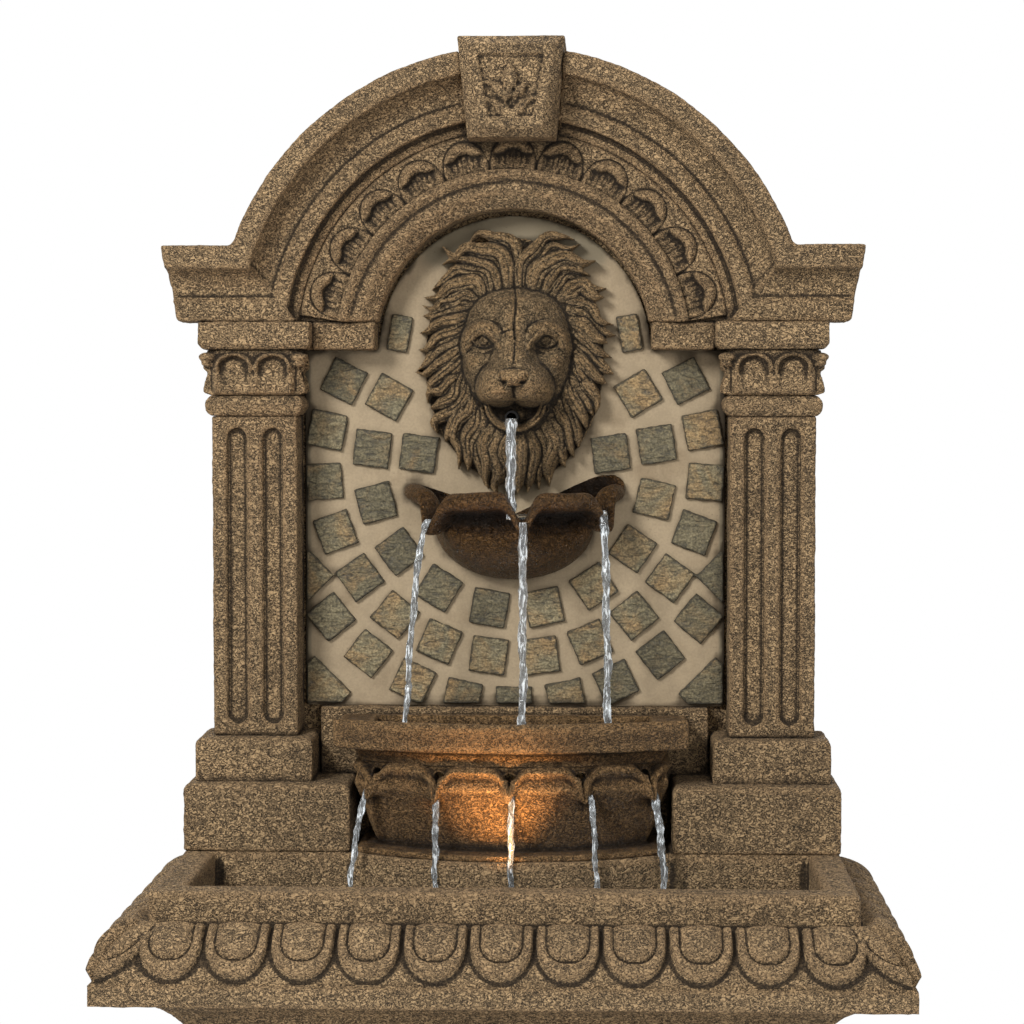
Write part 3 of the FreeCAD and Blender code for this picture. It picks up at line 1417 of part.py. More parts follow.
pump_cover = new_body("pump_cover")
cover_left = -pump_half - size["pump_cover_thickness"]
face_half = size["volute_radius"] + 3.0
cover_plate = draw_outline(new_sketch(pump_cover, "pump_cover_face", "YZ_Plane", cover_left),
                           rectangle(axle_y - face_half, axle_y + face_half, axle_z - face_half,
                                     axle_z + face_half))
pad(pump_cover, cover_plate, size["pump_cover_thickness"])
cover_socket = draw_circle(new_sketch(pump_cover, "pump_cover_socket", "YZ_Plane", -pump_half), axle_y,
                           axle_z,
                           size["shaft_radius"] + size["running_gap"])
pocket(pump_cover, cover_socket, 6.0)
knob_y = axle_y + 13.0
knob_z = axle_z - 13.0
stem_socket = draw_circle(new_sketch(pump_cover, "pump_cover_stem", "YZ_Plane", cover_left), knob_y, knob_z,
                          size["knob_stem_radius"] + size["running_gap"])
pocket(pump_cover, stem_socket, size["knob_stem_length"] + 1.0, reverse=True)
slots = new_sketch(pump_cover, "pump_cover_slots", "YZ_Plane", cover_left)
for step in range(4):
    draw_outline(slots, rectangle(axle_y - 20.0, axle_y - 5.0, axle_z - 19.0 + 11.0 * step,
                                  axle_z - 14.0 + 11.0 * step))
pocket(pump_cover, slots, size["pump_cover_thickness"], reverse=True)

impeller_x = -pump_half + 2.0
rotor = cylinder("rotor_magnet", size["rotor_radius"], size["rotor_length"] + size["volute_depth"] - 4.0,
                 impeller_x,
                 axle_y, axle_z, Y_AXIS, 90.0)
blade_upright = box("blade_upright", impeller_x, impeller_x + size["blade_length"],
                    axle_y - size["blade_thickness"] / 2,
                    axle_y + size["blade_thickness"] / 2, axle_z - size["impeller_radius"],
                    axle_z + size["impeller_radius"])
blade_level = box("blade_level", impeller_x, impeller_x + size["blade_length"],
                  axle_y - size["impeller_radius"],
                  axle_y + size["impeller_radius"], axle_z - size["blade_thickness"] / 2,
                  axle_z + size["blade_thickness"] / 2)
rotor_hole = cylinder("rotor_hole", size["shaft_radius"] + size["running_gap"], size["pump_width"],
                      impeller_x, axle_y,
                      axle_z, Y_AXIS, 90.0)
keep(cut("impeller_piece", fuse("impeller_blank", [rotor, blade_upright, blade_level]), rotor_hole),
     "impeller")
shaft_start = -pump_half - 5.5
keep(cylinder("impeller_pin", size["shaft_radius"], 5.5 + rotor_depth + socket_depth - 0.5, shaft_start,
              axle_y, axle_z,
              Y_AXIS, 90.0), "impeller_shaft")
knob_disc = cylinder("knob_disc", size["knob_radius"], size["knob_length"],
                     cover_left - size["knob_length"], knob_y,
                     knob_z, Y_AXIS, 90.0)
knob_stem = cylinder("knob_stem", size["knob_stem_radius"], size["knob_stem_length"], cover_left, knob_y,
                     knob_z,
                     Y_AXIS, 90.0)
knob_grip = box("knob_grip", cover_left - size["knob_length"] - 4.0, cover_left - size["knob_length"],
                knob_y - 1.5, knob_y + 1.5, knob_z - size["knob_radius"] * 0.9,
                knob_z + size["knob_radius"] * 0.9)
keep(fuse("knob_whole", [knob_disc, knob_stem, knob_grip]), "flow_knob")
pump_feet = []
for index, (x, y) in enumerate(((-1, -1), (1, -1), (-1, 1), (1, 1))):
    pump_feet.append(cylinder("pump_foot_%d" % index, size["pump_foot_radius"], size["pump_foot_height"],
                              x * (pump_half - 12.0), axle_y + y * (size["pump_depth"] / 2 - 12.0),
                              z_floor))
keep(group("pump_foot_group", pump_feet), "pump_feet")

# Supply hose, run straight up behind the wall from the pump to the spout barb
hose_low = pump_high + 2.0
hose_high = mouth_z - size["spout_radius"] - 2.0
hose_skin = cylinder("hose_skin", size["hose_radius"], hose_high - hose_low, 0.0, y_hose, hose_low)
hose_way = cylinder("hose_way", size["outlet_radius"] + size["running_gap"], hose_high - hose_low, 0.0,
                    y_hose, hose_low)
keep(cut("hose_piece", hose_skin, hose_way), "supply_hose")
clamps = []
for index, level in enumerate((hose_low + 6.0, hose_high - 16.0)):
    ring = cylinder("clamp_ring_%d" % index, size["hose_radius"] + size["clamp_thickness"],
                    size["clamp_width"], 0.0,
                    y_hose, level)
    bore = cylinder("clamp_bore_%d" % index, size["hose_radius"] + size["running_gap"],
                    size["clamp_width"], 0.0, y_hose,
                    level)
    clamps.append(cut("clamp_%d" % index, ring, bore))
keep(group("clamp_group", clamps), "hose_clamps")


# Spot light

light_y = (y_trough + y_plinth - size["boss_reach"]) / 2
pivot_z = z_floor + size["light_pivot_height"]
light_r = size["light_radius"]
light_l = size["light_length"]
ear_inner = light_r + size["yoke_gap"]
ear_outer = ear_inner + size["yoke_thickness"]
yoke_half = size["yoke_width"] / 2
yoke_plate = box("yoke_plate", -ear_outer, ear_outer, light_y - yoke_half, light_y + yoke_half, z_floor,
                 z_floor + size["yoke_thickness"])
yoke_parts = [yoke_plate]
for side, word in ((-1, "left"), (1, "right")):
    ends = block_ends(side, ear_inner, ear_outer)
    yoke_parts.append(box("yoke_ear_" + word, ends[0], ends[1], light_y - yoke_half, light_y + yoke_half,
                          z_floor,
                          pivot_z + yoke_half))
pivot_hole = cylinder("yoke_pivot_hole", size["pivot_radius"] + size["running_gap"], 4.0 * ear_outer,
                      -2.0 * ear_outer,
                      light_y, pivot_z, Y_AXIS, 90.0)
keep(cut("yoke_piece", fuse("yoke_blank", yoke_parts), pivot_hole), "light_yoke")


def tilted(item, label):
    """Turns a light piece, drawn upright about the pivot, to its resting tilt."""
    holder = doc.addObject("Part::Compound", label + "_tilted")
    holder.Links = [item]
    place(holder, 0.0, light_y, pivot_z, X_AXIS, -size["light_tilt"])
    return keep(holder, label)


can = cylinder("light_can", light_r, light_l, 0.0, 0.0, -light_l / 2)
can_bore = cylinder("light_can_bore", light_r - size["light_wall"], light_l, 0.0, 0.0,
                    -light_l / 2 + size["light_wall"] * 2.0)
can_pivot = cylinder("light_can_pivot", size["pivot_radius"] + size["running_gap"], 4.0 * ear_outer,
                     -2.0 * ear_outer, 0.0,
                     0.0, Y_AXIS, 90.0)
tilted(cut("light_can_piece", can, fuse("light_can_cuts", [can_bore, can_pivot])), "light_housing")
seat_z = light_l / 2 - size["lens_thickness"]
glass = cylinder("lens_disc", light_r - size["light_wall"] - size["running_gap"], size["lens_thickness"],
                 0.0, 0.0, seat_z)
tilted(glass, "light_lens")
ring = cylinder("bezel_ring", light_r, size["bezel_thickness"], 0.0, 0.0, light_l / 2)
ring_bore = cylinder("bezel_bore", light_r - size["light_wall"] * 2.0, size["bezel_thickness"], 0.0, 0.0,
                     light_l / 2)
tilted(cut("bezel_piece", ring, ring_bore), "light_bezel")
board_z = -light_l / 2 + size["light_wall"] * 2.0
board = cylinder("light_board", light_r - size["light_wall"] - 0.3, 3.0, 0.0, 0.0, board_z)
dome = cylinder("light_chip", 6.0, 3.0, 0.0, 0.0, board_z + 3.0)
tilted(fuse("light_emitter_piece", [board, dome]), "light_emitter")
pivots = []
for side, word in ((-1, "left"), (1, "right")):
    start = -ear_outer - 3.0 if side < 0 else light_r - size["light_wall"] - 2.0
    length = ear_outer + 3.0 - light_r + size["light_wall"] + 2.0
    pin = cylinder("pivot_pin_" + word, size["pivot_radius"], length, start, 0.0, 0.0, Y_AXIS, 90.0)
    head_start = -ear_outer - 5.5 if side < 0 else ear_outer + 0.5
    head = cylinder("pivot_head_" + word, size["pivot_radius"] * 2.0, 5.0, head_start, 0.0, 0.0, Y_AXIS,
                    90.0)
    pivots.append(fuse("pivot_" + word, [pin, head]))
tilted(group("pivot_group", pivots), "light_pivots")


# Recompute, check and export

doc.recompute()
troubled = []
for item in doc.Objects:
    state = list(item.State)
    if "Invalid" in state or "Error" in state:
        troubled.append("%s %s" % (item.Name, state))
if troubled:
    raise RuntimeError("objects did not recompute: " + "; ".join(troubled))
os.makedirs("parts", exist_ok=True)
for item in nodes:
    shape = item.Shape
    if shape.isNull() or not shape.isValid() or not shape.Solids:
        raise RuntimeError("bad shape: " + item.Label)
    shape.exportStep("parts/%s.step" % item.Label)
    print(item.Label, len(shape.Solids), round(shape.Volume / 1000.0, 1))
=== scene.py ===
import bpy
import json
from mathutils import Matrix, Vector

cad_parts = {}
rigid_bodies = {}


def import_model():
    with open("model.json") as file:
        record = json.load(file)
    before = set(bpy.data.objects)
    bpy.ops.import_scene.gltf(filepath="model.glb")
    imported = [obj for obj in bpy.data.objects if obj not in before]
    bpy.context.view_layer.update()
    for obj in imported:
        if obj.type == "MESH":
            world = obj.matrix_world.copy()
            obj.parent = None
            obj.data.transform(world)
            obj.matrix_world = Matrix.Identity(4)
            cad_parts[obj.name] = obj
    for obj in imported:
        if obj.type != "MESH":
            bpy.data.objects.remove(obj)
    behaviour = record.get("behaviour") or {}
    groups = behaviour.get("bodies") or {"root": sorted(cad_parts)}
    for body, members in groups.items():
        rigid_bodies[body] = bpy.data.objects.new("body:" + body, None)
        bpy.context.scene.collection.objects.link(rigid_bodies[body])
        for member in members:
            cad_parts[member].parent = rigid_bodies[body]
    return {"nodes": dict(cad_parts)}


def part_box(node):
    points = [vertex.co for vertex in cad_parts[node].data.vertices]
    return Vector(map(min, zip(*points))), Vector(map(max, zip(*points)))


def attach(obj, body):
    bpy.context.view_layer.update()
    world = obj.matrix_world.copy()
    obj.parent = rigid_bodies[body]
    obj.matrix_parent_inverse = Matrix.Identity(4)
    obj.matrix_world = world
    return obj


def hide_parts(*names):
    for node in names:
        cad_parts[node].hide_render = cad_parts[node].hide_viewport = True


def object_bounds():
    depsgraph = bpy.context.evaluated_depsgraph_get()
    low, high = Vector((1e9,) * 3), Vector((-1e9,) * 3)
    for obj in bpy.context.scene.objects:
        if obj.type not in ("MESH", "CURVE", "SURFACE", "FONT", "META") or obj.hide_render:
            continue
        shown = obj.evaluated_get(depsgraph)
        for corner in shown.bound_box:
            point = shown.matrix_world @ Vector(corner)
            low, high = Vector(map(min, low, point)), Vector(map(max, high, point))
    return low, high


bl_info = {
    "name": "Lion head floor fountain",
    "version": (1, 0, 0),
    "blender": (4, 5, 0),
    "location": "3D View > Sidebar > Fountain",
    "description": "Dresses the packed fountain in weathered casting, slate, plastic and water",
    "category": "Object",
}

import json
import math

import bmesh
import bpy
import numpy as np
from bpy.props import FloatProperty, FloatVectorProperty, PointerProperty
from mathutils import Matrix, Vector

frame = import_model()
CAD_LOW, CAD_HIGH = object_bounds()
NODES = frame["nodes"]

MM = 0.001
MERGE_GAP = 0.02 * MM
STONE_BODY = "fountain"

# Places in millimetres that several pieces share
ARCH_CENTRE = 951.0
WALL_FACE = 150.0
LOWER_BOWL_HALF = 161.0


def tone(red, green, blue):
    """A scene linear colour from the 0 to 255 values a picture editor shows."""
    linear = []
    for value in (red, green, blue):
        share = value / 255.0
        linear.append(share / 12.92 if share <= 0.04045 else ((share + 0.055) / 1.055) ** 2.4)
    return tuple(linear)


def colour_setting(name, description, red, green, blue):
    return FloatVectorProperty(name=name, description=description, subtype="COLOR", size=3,
                               min=0.0, max=1.0, default=tone(red, green, blue))


def length_setting(name, description, millimetres):
    return FloatProperty(name=name, description=description, unit="LENGTH", min=0.0,
                         default=millimetres * MM)


class FountainSizes(bpy.types.PropertyGroup):
    """Sizes that change how the casting, the carving and the water look."""

    block_grain: length_setting("Block grain", "Voxel size that softens the small cast blocks", 2.2)
    arch_grain: length_setting("Arch grain", "Voxel size that softens the arch and cornice", 2.7)
    basin_grain: length_setting("Basin grain", "Voxel size that softens the basin", 4.0)
    pedestal_grain: length_setting("Pedestal grain", "Voxel size that softens the pedestal", 4.8)
    carving_grain: length_setting("Carving grain", "Voxel size of the capitals and the keystone", 1.5)
    wave_height: length_setting("Wave height", "Height of the slow unevenness of the casting", 1.5)
    pit_height: length_setting("Pit height", "Height of the close roughness of the casting", 1.3)
    egg_pitch: length_setting("Egg pitch", "Distance between the eggs along the front of the basin", 63.0)
    stream_radius: length_setting("Stream radius", "Half the thickness of a water stream", 4.2)
    water_level: length_setting("Water level", "Height of the water in the basin", 384.0)


class FountainColours(bpy.types.PropertyGroup):
    """Colours of the casting, the mosaic, the fittings and the water."""

    stone_pale: colour_setting("Worn edge", "Casting where it is rubbed", 182, 150, 110)
    stone_mid: colour_setting("Casting", "Casting on open faces", 150, 125, 92)
    # The recess colours (this one and the carving, wet and damp ones) paint a dark wash with shade into
    # creases, and shade with dirt into joints
    stone_dark: colour_setting("Recess", "Stain in the casting's hollows", 44, 34, 23)
    mane_pale: colour_setting("Carving edge", "Rubbed ridges of the lion", 184, 150, 106)
    mane_mid: colour_setting("Carving", "Open faces of the lion", 124, 104, 76)
    mane_dark: colour_setting("Carving recess", "Deep lines of the lion", 26, 20, 14)
    wet_pale: colour_setting("Wet edge", "Rubbed edges of the wet bowls", 118, 86, 50)
    wet_mid: colour_setting("Wet casting", "Casting under running water", 52, 35, 17)
    wet_dark: colour_setting("Wet recess", "Hollows of the wet casting", 22, 15, 9)
    damp_pale: colour_setting("Damp edge", "Rubbed edges of the shelf", 164, 130, 88)
    damp_mid: colour_setting("Damp casting", "Open faces of the shelf", 104, 80, 52)
    damp_dark: colour_setting("Damp recess", "Hollows of the shelf", 34, 25, 15)
    grout: colour_setting("Grout", "Bed of the mosaic", 162, 144, 117)
    grout_stain: colour_setting("Grout stain", "Stain in the grout", 122, 104, 80)
    # This grey also paints shade beside the columns and under the arch
    grout_grey: colour_setting("Grout wash", "Grey wash of the bed above the lion", 122, 112, 92)
    slate_green: colour_setting("Slate", "Main colour of the slate tiles", 112, 103, 79)
    slate_dark: colour_setting("Dark slate", "Layers and edges of the slate", 54, 49, 37)
    slate_rust: colour_setting("Rusty slate", "Iron stain in the slate", 146, 116, 76)
    cover_plastic: colour_setting("Rear plastic", "Rear cover and door", 96, 80, 61)
    dark_plastic: colour_setting("Dark plastic", "Pump, lamp and spout", 30, 29, 28)
    steel: colour_setting("Steel", "Screws, bolts, hinges and clamps", 150, 150, 148)
    rubber: colour_setting("Rubber", "Pads, feet and plug", 26, 25, 24)
    hose_vinyl: colour_setting("Hose", "Clear grey hose", 176, 180, 178)
    led_board: colour_setting("Lamp board", "Board of the lamp", 200, 190, 150)
    glow: colour_setting("Glow", "Warm light on the lower bowl", 255, 198, 134)
    # The water tint is also the colour of the painted glow of the foamy streaks
    water: colour_setting("Water", "Tint of the water", 236, 242, 245)
    water_clear: colour_setting("Clear water", "Streams between their streaks of foam", 150, 152, 152)
    water_still: colour_setting("Still water", "Hollows between the ripples", 196, 204, 200)


class Graph:
    """Adds shader nodes to one node tree."""

    def __init__(self, tree):
        self.tree = tree

    def node(self, kind, inputs=None, **settings):
        item = self.tree.nodes.new("ShaderNode" + kind)
        for key, value in settings.items():
            setattr(item, key, value)
        for key, value in (inputs or {}).items():
            self.feed(item.inputs[key], value)
        return item

    def feed(self, socket, value):
        if isinstance(value, bpy.types.NodeSocket):
            self.tree.links.new(value, socket)
        elif socket.type == "RGBA" and len(value) == 3:
            socket.default_value = (*value, 1.0)
        else:
            socket.default_value = value

    def math(self, operation, first, second=0.0, clamp=False):
        return self.node("Math", {0: first, 1: second}, operation=operation, use_clamp=clamp).outputs[0]

    def plus(self, first, second):
        return self.math("ADD", first, second)

    def minus(self, first, second):
        return self.math("SUBTRACT", first, second)

    def times(self, first, second, clamp=False):
        return self.math("MULTIPLY", first, second, clamp)

    def larger(self, first, second):
        return self.math("MAXIMUM", first, second)

    def mix(self, factor, first, second, blend="MIX"):
        item = self.node("Mix", {0: factor, 6: first, 7: second}, data_type="RGBA", blend_type=blend)
        return item.outputs[2]

    def grey(self, value):
        return self.node("CombineColor", {0: value, 1: value, 2: value}).outputs[0]

    def shaded(self, colour, shade):
        return self.mix(1.0, colour, self.grey(shade), "MULTIPLY")

    def noise(self, vector, scale, detail=2.0, roughness=0.5, distortion=0.0):
        sockets = {"Vector": vector, "Scale": scale, "Detail": detail, "Roughness": roughness,
                   "Distortion": distortion}
        return self.node("TexNoise", sockets).outputs[0]

    def band(self, value, low, high, start=0.0, end=1.0):
        sockets = {"Value": value, "From Min": low, "From Max": high, "To Min": start, "To Max": end}
        return self.node("MapRange", sockets, interpolation_type="SMOOTHSTEP").outputs[0]

    def attribute(self, name):
        return self.node("Attribute", attribute_name=name).outputs["Fac"]

    def place(self):
        return self.node("TexCoord").outputs["Object"]

    def stretched(self, vector, scale):
        return self.node("Mapping", {"Vector": vector, "Scale": scale}).outputs[0]

    def given(self):
        return self.tree.nodes.new("NodeGroupInput").outputs

    def result(self):
        return self.tree.nodes.new("NodeGroupOutput").inputs


def new_group(name, inputs, outputs):
    """A shader node group with named sockets, and the graph that fills it."""
    tree = bpy.data.node_groups.new(name, "ShaderNodeTree")
    for label, kind, value in inputs:
        socket = tree.interface.new_socket(name=label, in_out="INPUT", socket_type="NodeSocket" + kind)
        socket.default_value = (*value, 1.0) if kind == "Color" else value
    for label, kind in outputs:
        tree.interface.new_socket(name=label, in_out="OUTPUT", socket_type="NodeSocket" + kind)
    graph = Graph(tree)
    return graph, graph.given(), graph.result()


SURFACE = [("Color", "Color"), ("Roughness", "Float"), ("Height", "Float")]


def cast_stone_group():
    """Pitted casting: hollows darkened by a dark wash with painted shade, joints by painted shade with dirt,
    rubbed edges, and speckle that also paints light on raised grains and shade in low ones.
    """
    name = "worn cast stone"
    if name in bpy.data.node_groups:
        return bpy.data.node_groups[name]
    graph, given, result = new_group(name, [
        ("Pale", "Color", (0.4, 0.3, 0.2)),
        ("Mid", "Color", (0.25, 0.2, 0.12)),
        ("Dark", "Color", (0.04, 0.03, 0.02)),
        ("Pits", "Float", 1.0),
        ("Wear", "Float", 1.0),
        ("Grime", "Float", 1.0),
        ("Smooth", "Float", 0.68),
        ("Rough", "Float", 0.92),
    ], SURFACE)
    place = graph.place()
    cloud = graph.noise(place, 9.0, 4.0, 0.62)
    patch = graph.noise(place, 55.0, 3.0, 0.6)
    grain = graph.noise(graph.stretched(place, (1.0, 1.0, 1.35)), 250.0, 2.0, 0.6, 0.7)
    broken = graph.noise(place, 130.0, 2.0, 0.6)
    speck = graph.noise(place, 620.0, 2.0, 0.6)
    wear = graph.attribute("wear")
    grime = graph.attribute("grime")
    fold = graph.math("ABSOLUTE", graph.minus(grain, 0.5))
    lump = graph.band(fold, 0.0, 0.12)
    ground = graph.plus(graph.times(lump, 0.5), graph.times(broken, 0.4))
    ground = graph.plus(ground, graph.times(graph.minus(speck, 0.4), 1.0))
    pit = graph.band(ground, 0.42, 0.24)
    pit = graph.times(pit, given["Pits"], clamp=True)
    light = graph.band(graph.plus(cloud, graph.times(patch, 0.6)), 0.52, 1.1, 0.76, 1.22)
    # Speckle that also paints light on raised grains and shade in low ones, following the bump height
    speckle_and_relief_shade = graph.band(ground, 0.2, 0.9, 0.36, 1.86)
    base = graph.shaded(given["Mid"], graph.times(light, speckle_and_relief_shade))
    rubbed = graph.times(graph.band(wear, 0.56, 0.86), graph.band(ground, 0.3, 0.6, 0.2, 1.0))
    rubbed = graph.times(rubbed, given["Wear"], clamp=True)
    base = graph.mix(graph.times(rubbed, 0.8), base, given["Pale"])
    # Painted shade with a dark wash: creases and hollows darken towards the recess colour
    hollow = graph.times(graph.band(wear, 0.4, 0.12), given["Wear"], clamp=True)
    base = graph.mix(graph.times(hollow, 0.86), base, given["Dark"])
    # Painted shade with dirt: points closed in by nearby surfaces darken towards the recess colour
    stain_and_shade = graph.band(graph.plus(grime, graph.times(patch, 0.4)), 0.55, 1.3)
    stain_and_shade = graph.times(stain_and_shade, given["Grime"], clamp=True)
    base = graph.mix(graph.times(stain_and_shade, 0.85), base, given["Dark"])
    base = graph.mix(graph.times(pit, 0.8), base, given["Dark"])
    graph.feed(result["Color"], base)
    graph.feed(result["Roughness"], graph.band(broken, 0.3, 0.7, given["Smooth"], given["Rough"]))
    graph.feed(result["Height"], ground)
    return graph.tree


def slate_group():
    """Riven slate: every tile has its own tone, with rusty patches, layers, dark edges and painted shade
    with dirt where the tiles are closed in.
    """
    name = "riven slate"
    if name in bpy.data.node_groups:
        return bpy.data.node_groups[name]
    graph, given, result = new_group(name, [
        ("Slate", "Color", (0.15, 0.14, 0.09)),
        ("Dark", "Color", (0.05, 0.045, 0.03)),
        ("Rust", "Color", (0.28, 0.18, 0.08)),
        ("Grime", "Float", 1.0),
    ], SURFACE)
    place = graph.place()
    tile = graph.attribute("tile")
    offset = graph.node("CombineXYZ", {0: tile, 1: tile, 2: tile}).outputs[0]
    shifted = graph.node("VectorMath", {0: place, 1: offset}, operation="ADD").outputs[0]
    cloud = graph.noise(shifted, 24.0, 4.0, 0.65, 0.6)
    layer = graph.noise(graph.stretched(shifted, (1.0, 1.0, 2.6)), 85.0, 4.0, 0.68, 1.2)
    grain = graph.noise(place, 420.0, 2.0, 0.6)
    grime = graph.attribute("grime")
    wear = graph.attribute("wear")
    base = graph.shaded(given["Slate"], graph.band(tile, 0.0, 1.0, 0.7, 1.28))
    rust = graph.band(graph.plus(cloud, graph.times(tile, 0.22)), 0.54, 0.82)
    base = graph.mix(graph.times(rust, 0.7), base, given["Rust"])
    base = graph.shaded(base, graph.band(layer, 0.32, 0.66, 0.5, 1.4))
    flake = graph.band(layer, 0.4, 0.33)
    base = graph.mix(graph.times(flake, 0.6), base, given["Dark"])
    base = graph.mix(graph.times(graph.band(wear, 0.6, 0.85), 0.85), base, given["Dark"])
    # Painted shade with dirt: tiles darken where nearby surfaces close them in
    stain_and_shade = graph.band(graph.plus(grime, graph.times(cloud, 0.4)), 0.4, 1.1)
    stain_and_shade = graph.times(stain_and_shade, given["Grime"], clamp=True)
    base = graph.mix(graph.times(stain_and_shade, 0.8), base, given["Dark"])
    base = graph.shaded(base, graph.band(grain, 0.36, 0.64, 0.68, 1.3))
    graph.feed(result["Color"], base)
    graph.feed(result["Roughness"], graph.band(layer, 0.3, 0.7, 0.5, 0.78))
    graph.feed(result["Height"], graph.plus(layer, graph.times(grain, 0.25)))
    return graph.tree


def grout_group():
    """Trowelled grout: soft stains, a grey tint that is a washed grey above the lion and painted shade
    beside the columns and under the arch, and painted shade with dirt beside what stands on it.
    """
    name = "stained grout"
    if name in bpy.data.node_groups:
        return bpy.data.node_groups[name]
    graph, given, result = new_group(name, [
        ("Grout", "Color", (0.4, 0.3, 0.2)),
        ("Stain", "Color", (0.2, 0.15, 0.09)),
        ("Wash", "Color", (0.1, 0.09, 0.07)),
        ("Dark", "Color", (0.04, 0.03, 0.02)),
    ], SURFACE)
    place = graph.place()
    cloud = graph.noise(place, 13.0, 4.0, 0.62, 0.4)
    patch = graph.noise(place, 60.0, 3.0, 0.6)
    grain = graph.noise(place, 380.0, 2.0, 0.6)
    grime = graph.attribute("grime")
    wash = graph.attribute("wash")
    base = graph.mix(graph.times(graph.band(cloud, 0.5, 0.75), 0.5), given["Grout"], given["Stain"])
    base = graph.shaded(base, graph.band(graph.plus(patch, grain), 0.75, 1.25, 0.92, 1.08))
    base = graph.mix(graph.times(graph.band(wash, 0.2, 0.9), 0.9), base, given["Wash"])
    # Painted shade with dirt: grout darkens beside what stands on it
    stain_and_shade = graph.band(graph.plus(grime, graph.times(patch, 0.55)), 0.48, 1.1)
    base = graph.mix(graph.times(stain_and_shade, 0.85), base, given["Dark"])
    speck = graph.times(graph.band(grain, 0.33, 0.28), graph.band(patch, 0.5, 0.7))
    base = graph.mix(graph.times(speck, 0.7), base, given["Dark"])
    graph.feed(result["Color"], base)
    graph.feed(result["Roughness"], graph.band(cloud, 0.3, 0.7, 0.8, 0.95))
    graph.feed(result["Height"], graph.plus(patch, graph.times(grain, 0.35)))
    return graph.tree


def grain_group():
    """Fine moulded grain for plastics, rubber and metal."""
    name = "moulded grain"
    if name in bpy.data.node_groups:
        return bpy.data.node_groups[name]
    graph, given, result = new_group(name, [
        ("Tint", "Color", (0.5, 0.5, 0.5)),
        ("Spread", "Float", 0.2),
        ("Grain", "Float", 600.0),
        ("Smooth", "Float", 0.4),
        ("Rough", "Float", 0.6),
    ], SURFACE)
    place = graph.place()
    cloud = graph.noise(place, 25.0, 3.0, 0.6)
    grain = graph.noise(place, given["Grain"], 2.0, 0.6)
    low = graph.minus(1.0, given["Spread"])
    high = graph.plus(1.0, given["Spread"])
    graph.feed(result["Color"], graph.shaded(given["Tint"], graph.band(cloud, 0.3, 0.7, low, high)))
    graph.feed(result["Roughness"], graph.band(cloud, 0.3, 0.7, given["Smooth"], given["Rough"]))
    graph.feed(result["Height"], grain)
    return graph.tree


def new_material(name):
    material = bpy.data.materials.new(name)
    material.use_nodes = True
    graph = Graph(material.node_tree)
    shader = material.node_tree.nodes["Principled BSDF"]
    return material, graph, shader


def finish_shader(graph, shader, height, strength, reach, constants):
    """Bumps the surface by a height and sets the shader's constant sockets."""
    bump = graph.node("Bump", {"Height": height, "Strength": strength, "Distance": reach})
    graph.feed(shader.inputs["Normal"], bump.outputs["Normal"])
    for key, value in constants.items():
        graph.feed(shader.inputs[key], value)


def group_material(name, group, values, strength, reach, constants):
    """A material whose colour, roughness and bump come from one group."""
    if name in bpy.data.materials:
        return bpy.data.materials[name]
    material, graph, shader = new_material(name)
    item = graph.tree.nodes.new("ShaderNodeGroup")
    item.node_tree = group
    for key, value in values.items():
        graph.feed(item.inputs[key], value)
    graph.feed(shader.inputs["Base Color"], item.outputs["Color"])
    graph.feed(shader.inputs["Roughness"], item.outputs["Roughness"])
    finish_shader(graph, shader, item.outputs["Height"], strength, reach, constants)
    return material


# Colours, pits, wear with painted crease shade, grime with painted joint shade, and the least and most
# roughness of each kind of casting
STONE_KINDS = {
    "dry": ("stone", 0.85, 1.0, 1.0, 0.68, 0.92),
    "bare": ("stone", 0.85, 0.0, 0.0, 0.68, 0.92),
    "carved": ("mane", 0.6, 1.0, 0.5, 0.42, 0.7),
    "wet": ("wet", 0.45, 0.9, 0.8, 0.22, 0.5),
    "damp": ("damp", 0.5, 0.9, 0.8, 0.34, 0.6),
}


def stone_material(context, kind):
    colours = context.scene.fountain_colours
    family, pits, wear, grime, smooth, rough = STONE_KINDS[kind]
    values = {"Pits": pits, "Wear": wear, "Grime": grime, "Smooth": smooth, "Rough": rough}
    for shade in ("Pale", "Mid", "Dark"):
        values[shade] = getattr(colours, family + "_" + shade.lower())[:]
    return group_material("cast stone " + kind, cast_stone_group(), values, 1.0, 0.0046,
                          {"Specular IOR Level": 0.3})


def slate_material(context):
    colours = context.scene.fountain_colours
    values = {"Slate": colours.slate_green[:], "Dark": colours.slate_dark[:], "Rust": colours.slate_rust[:],
              "Grime": 1.0}
    return group_material("slate tiles", slate_group(), values, 1.0, 0.0024, {"Specular IOR Level": 0.4})


def grout_material(context):
    colours = context.scene.fountain_colours
    values = {"Grout": colours.grout[:], "Stain": colours.grout_stain[:], "Wash": colours.grout_grey[:],
              "Dark": colours.stone_dark[:]}
    return group_material("grout bed", grout_group(), values, 0.5, 0.0012, {"Specular IOR Level": 0.25})


def plain_material(name, colour, spread, grain, smooth, rough, strength, constants):
    values = {"Tint": colour[:], "Spread": spread, "Grain": grain, "Smooth": smooth, "Rough": rough}
    return group_material(name, grain_group(), values, strength, 0.0004, constants)


WATER_IOR = 1.33


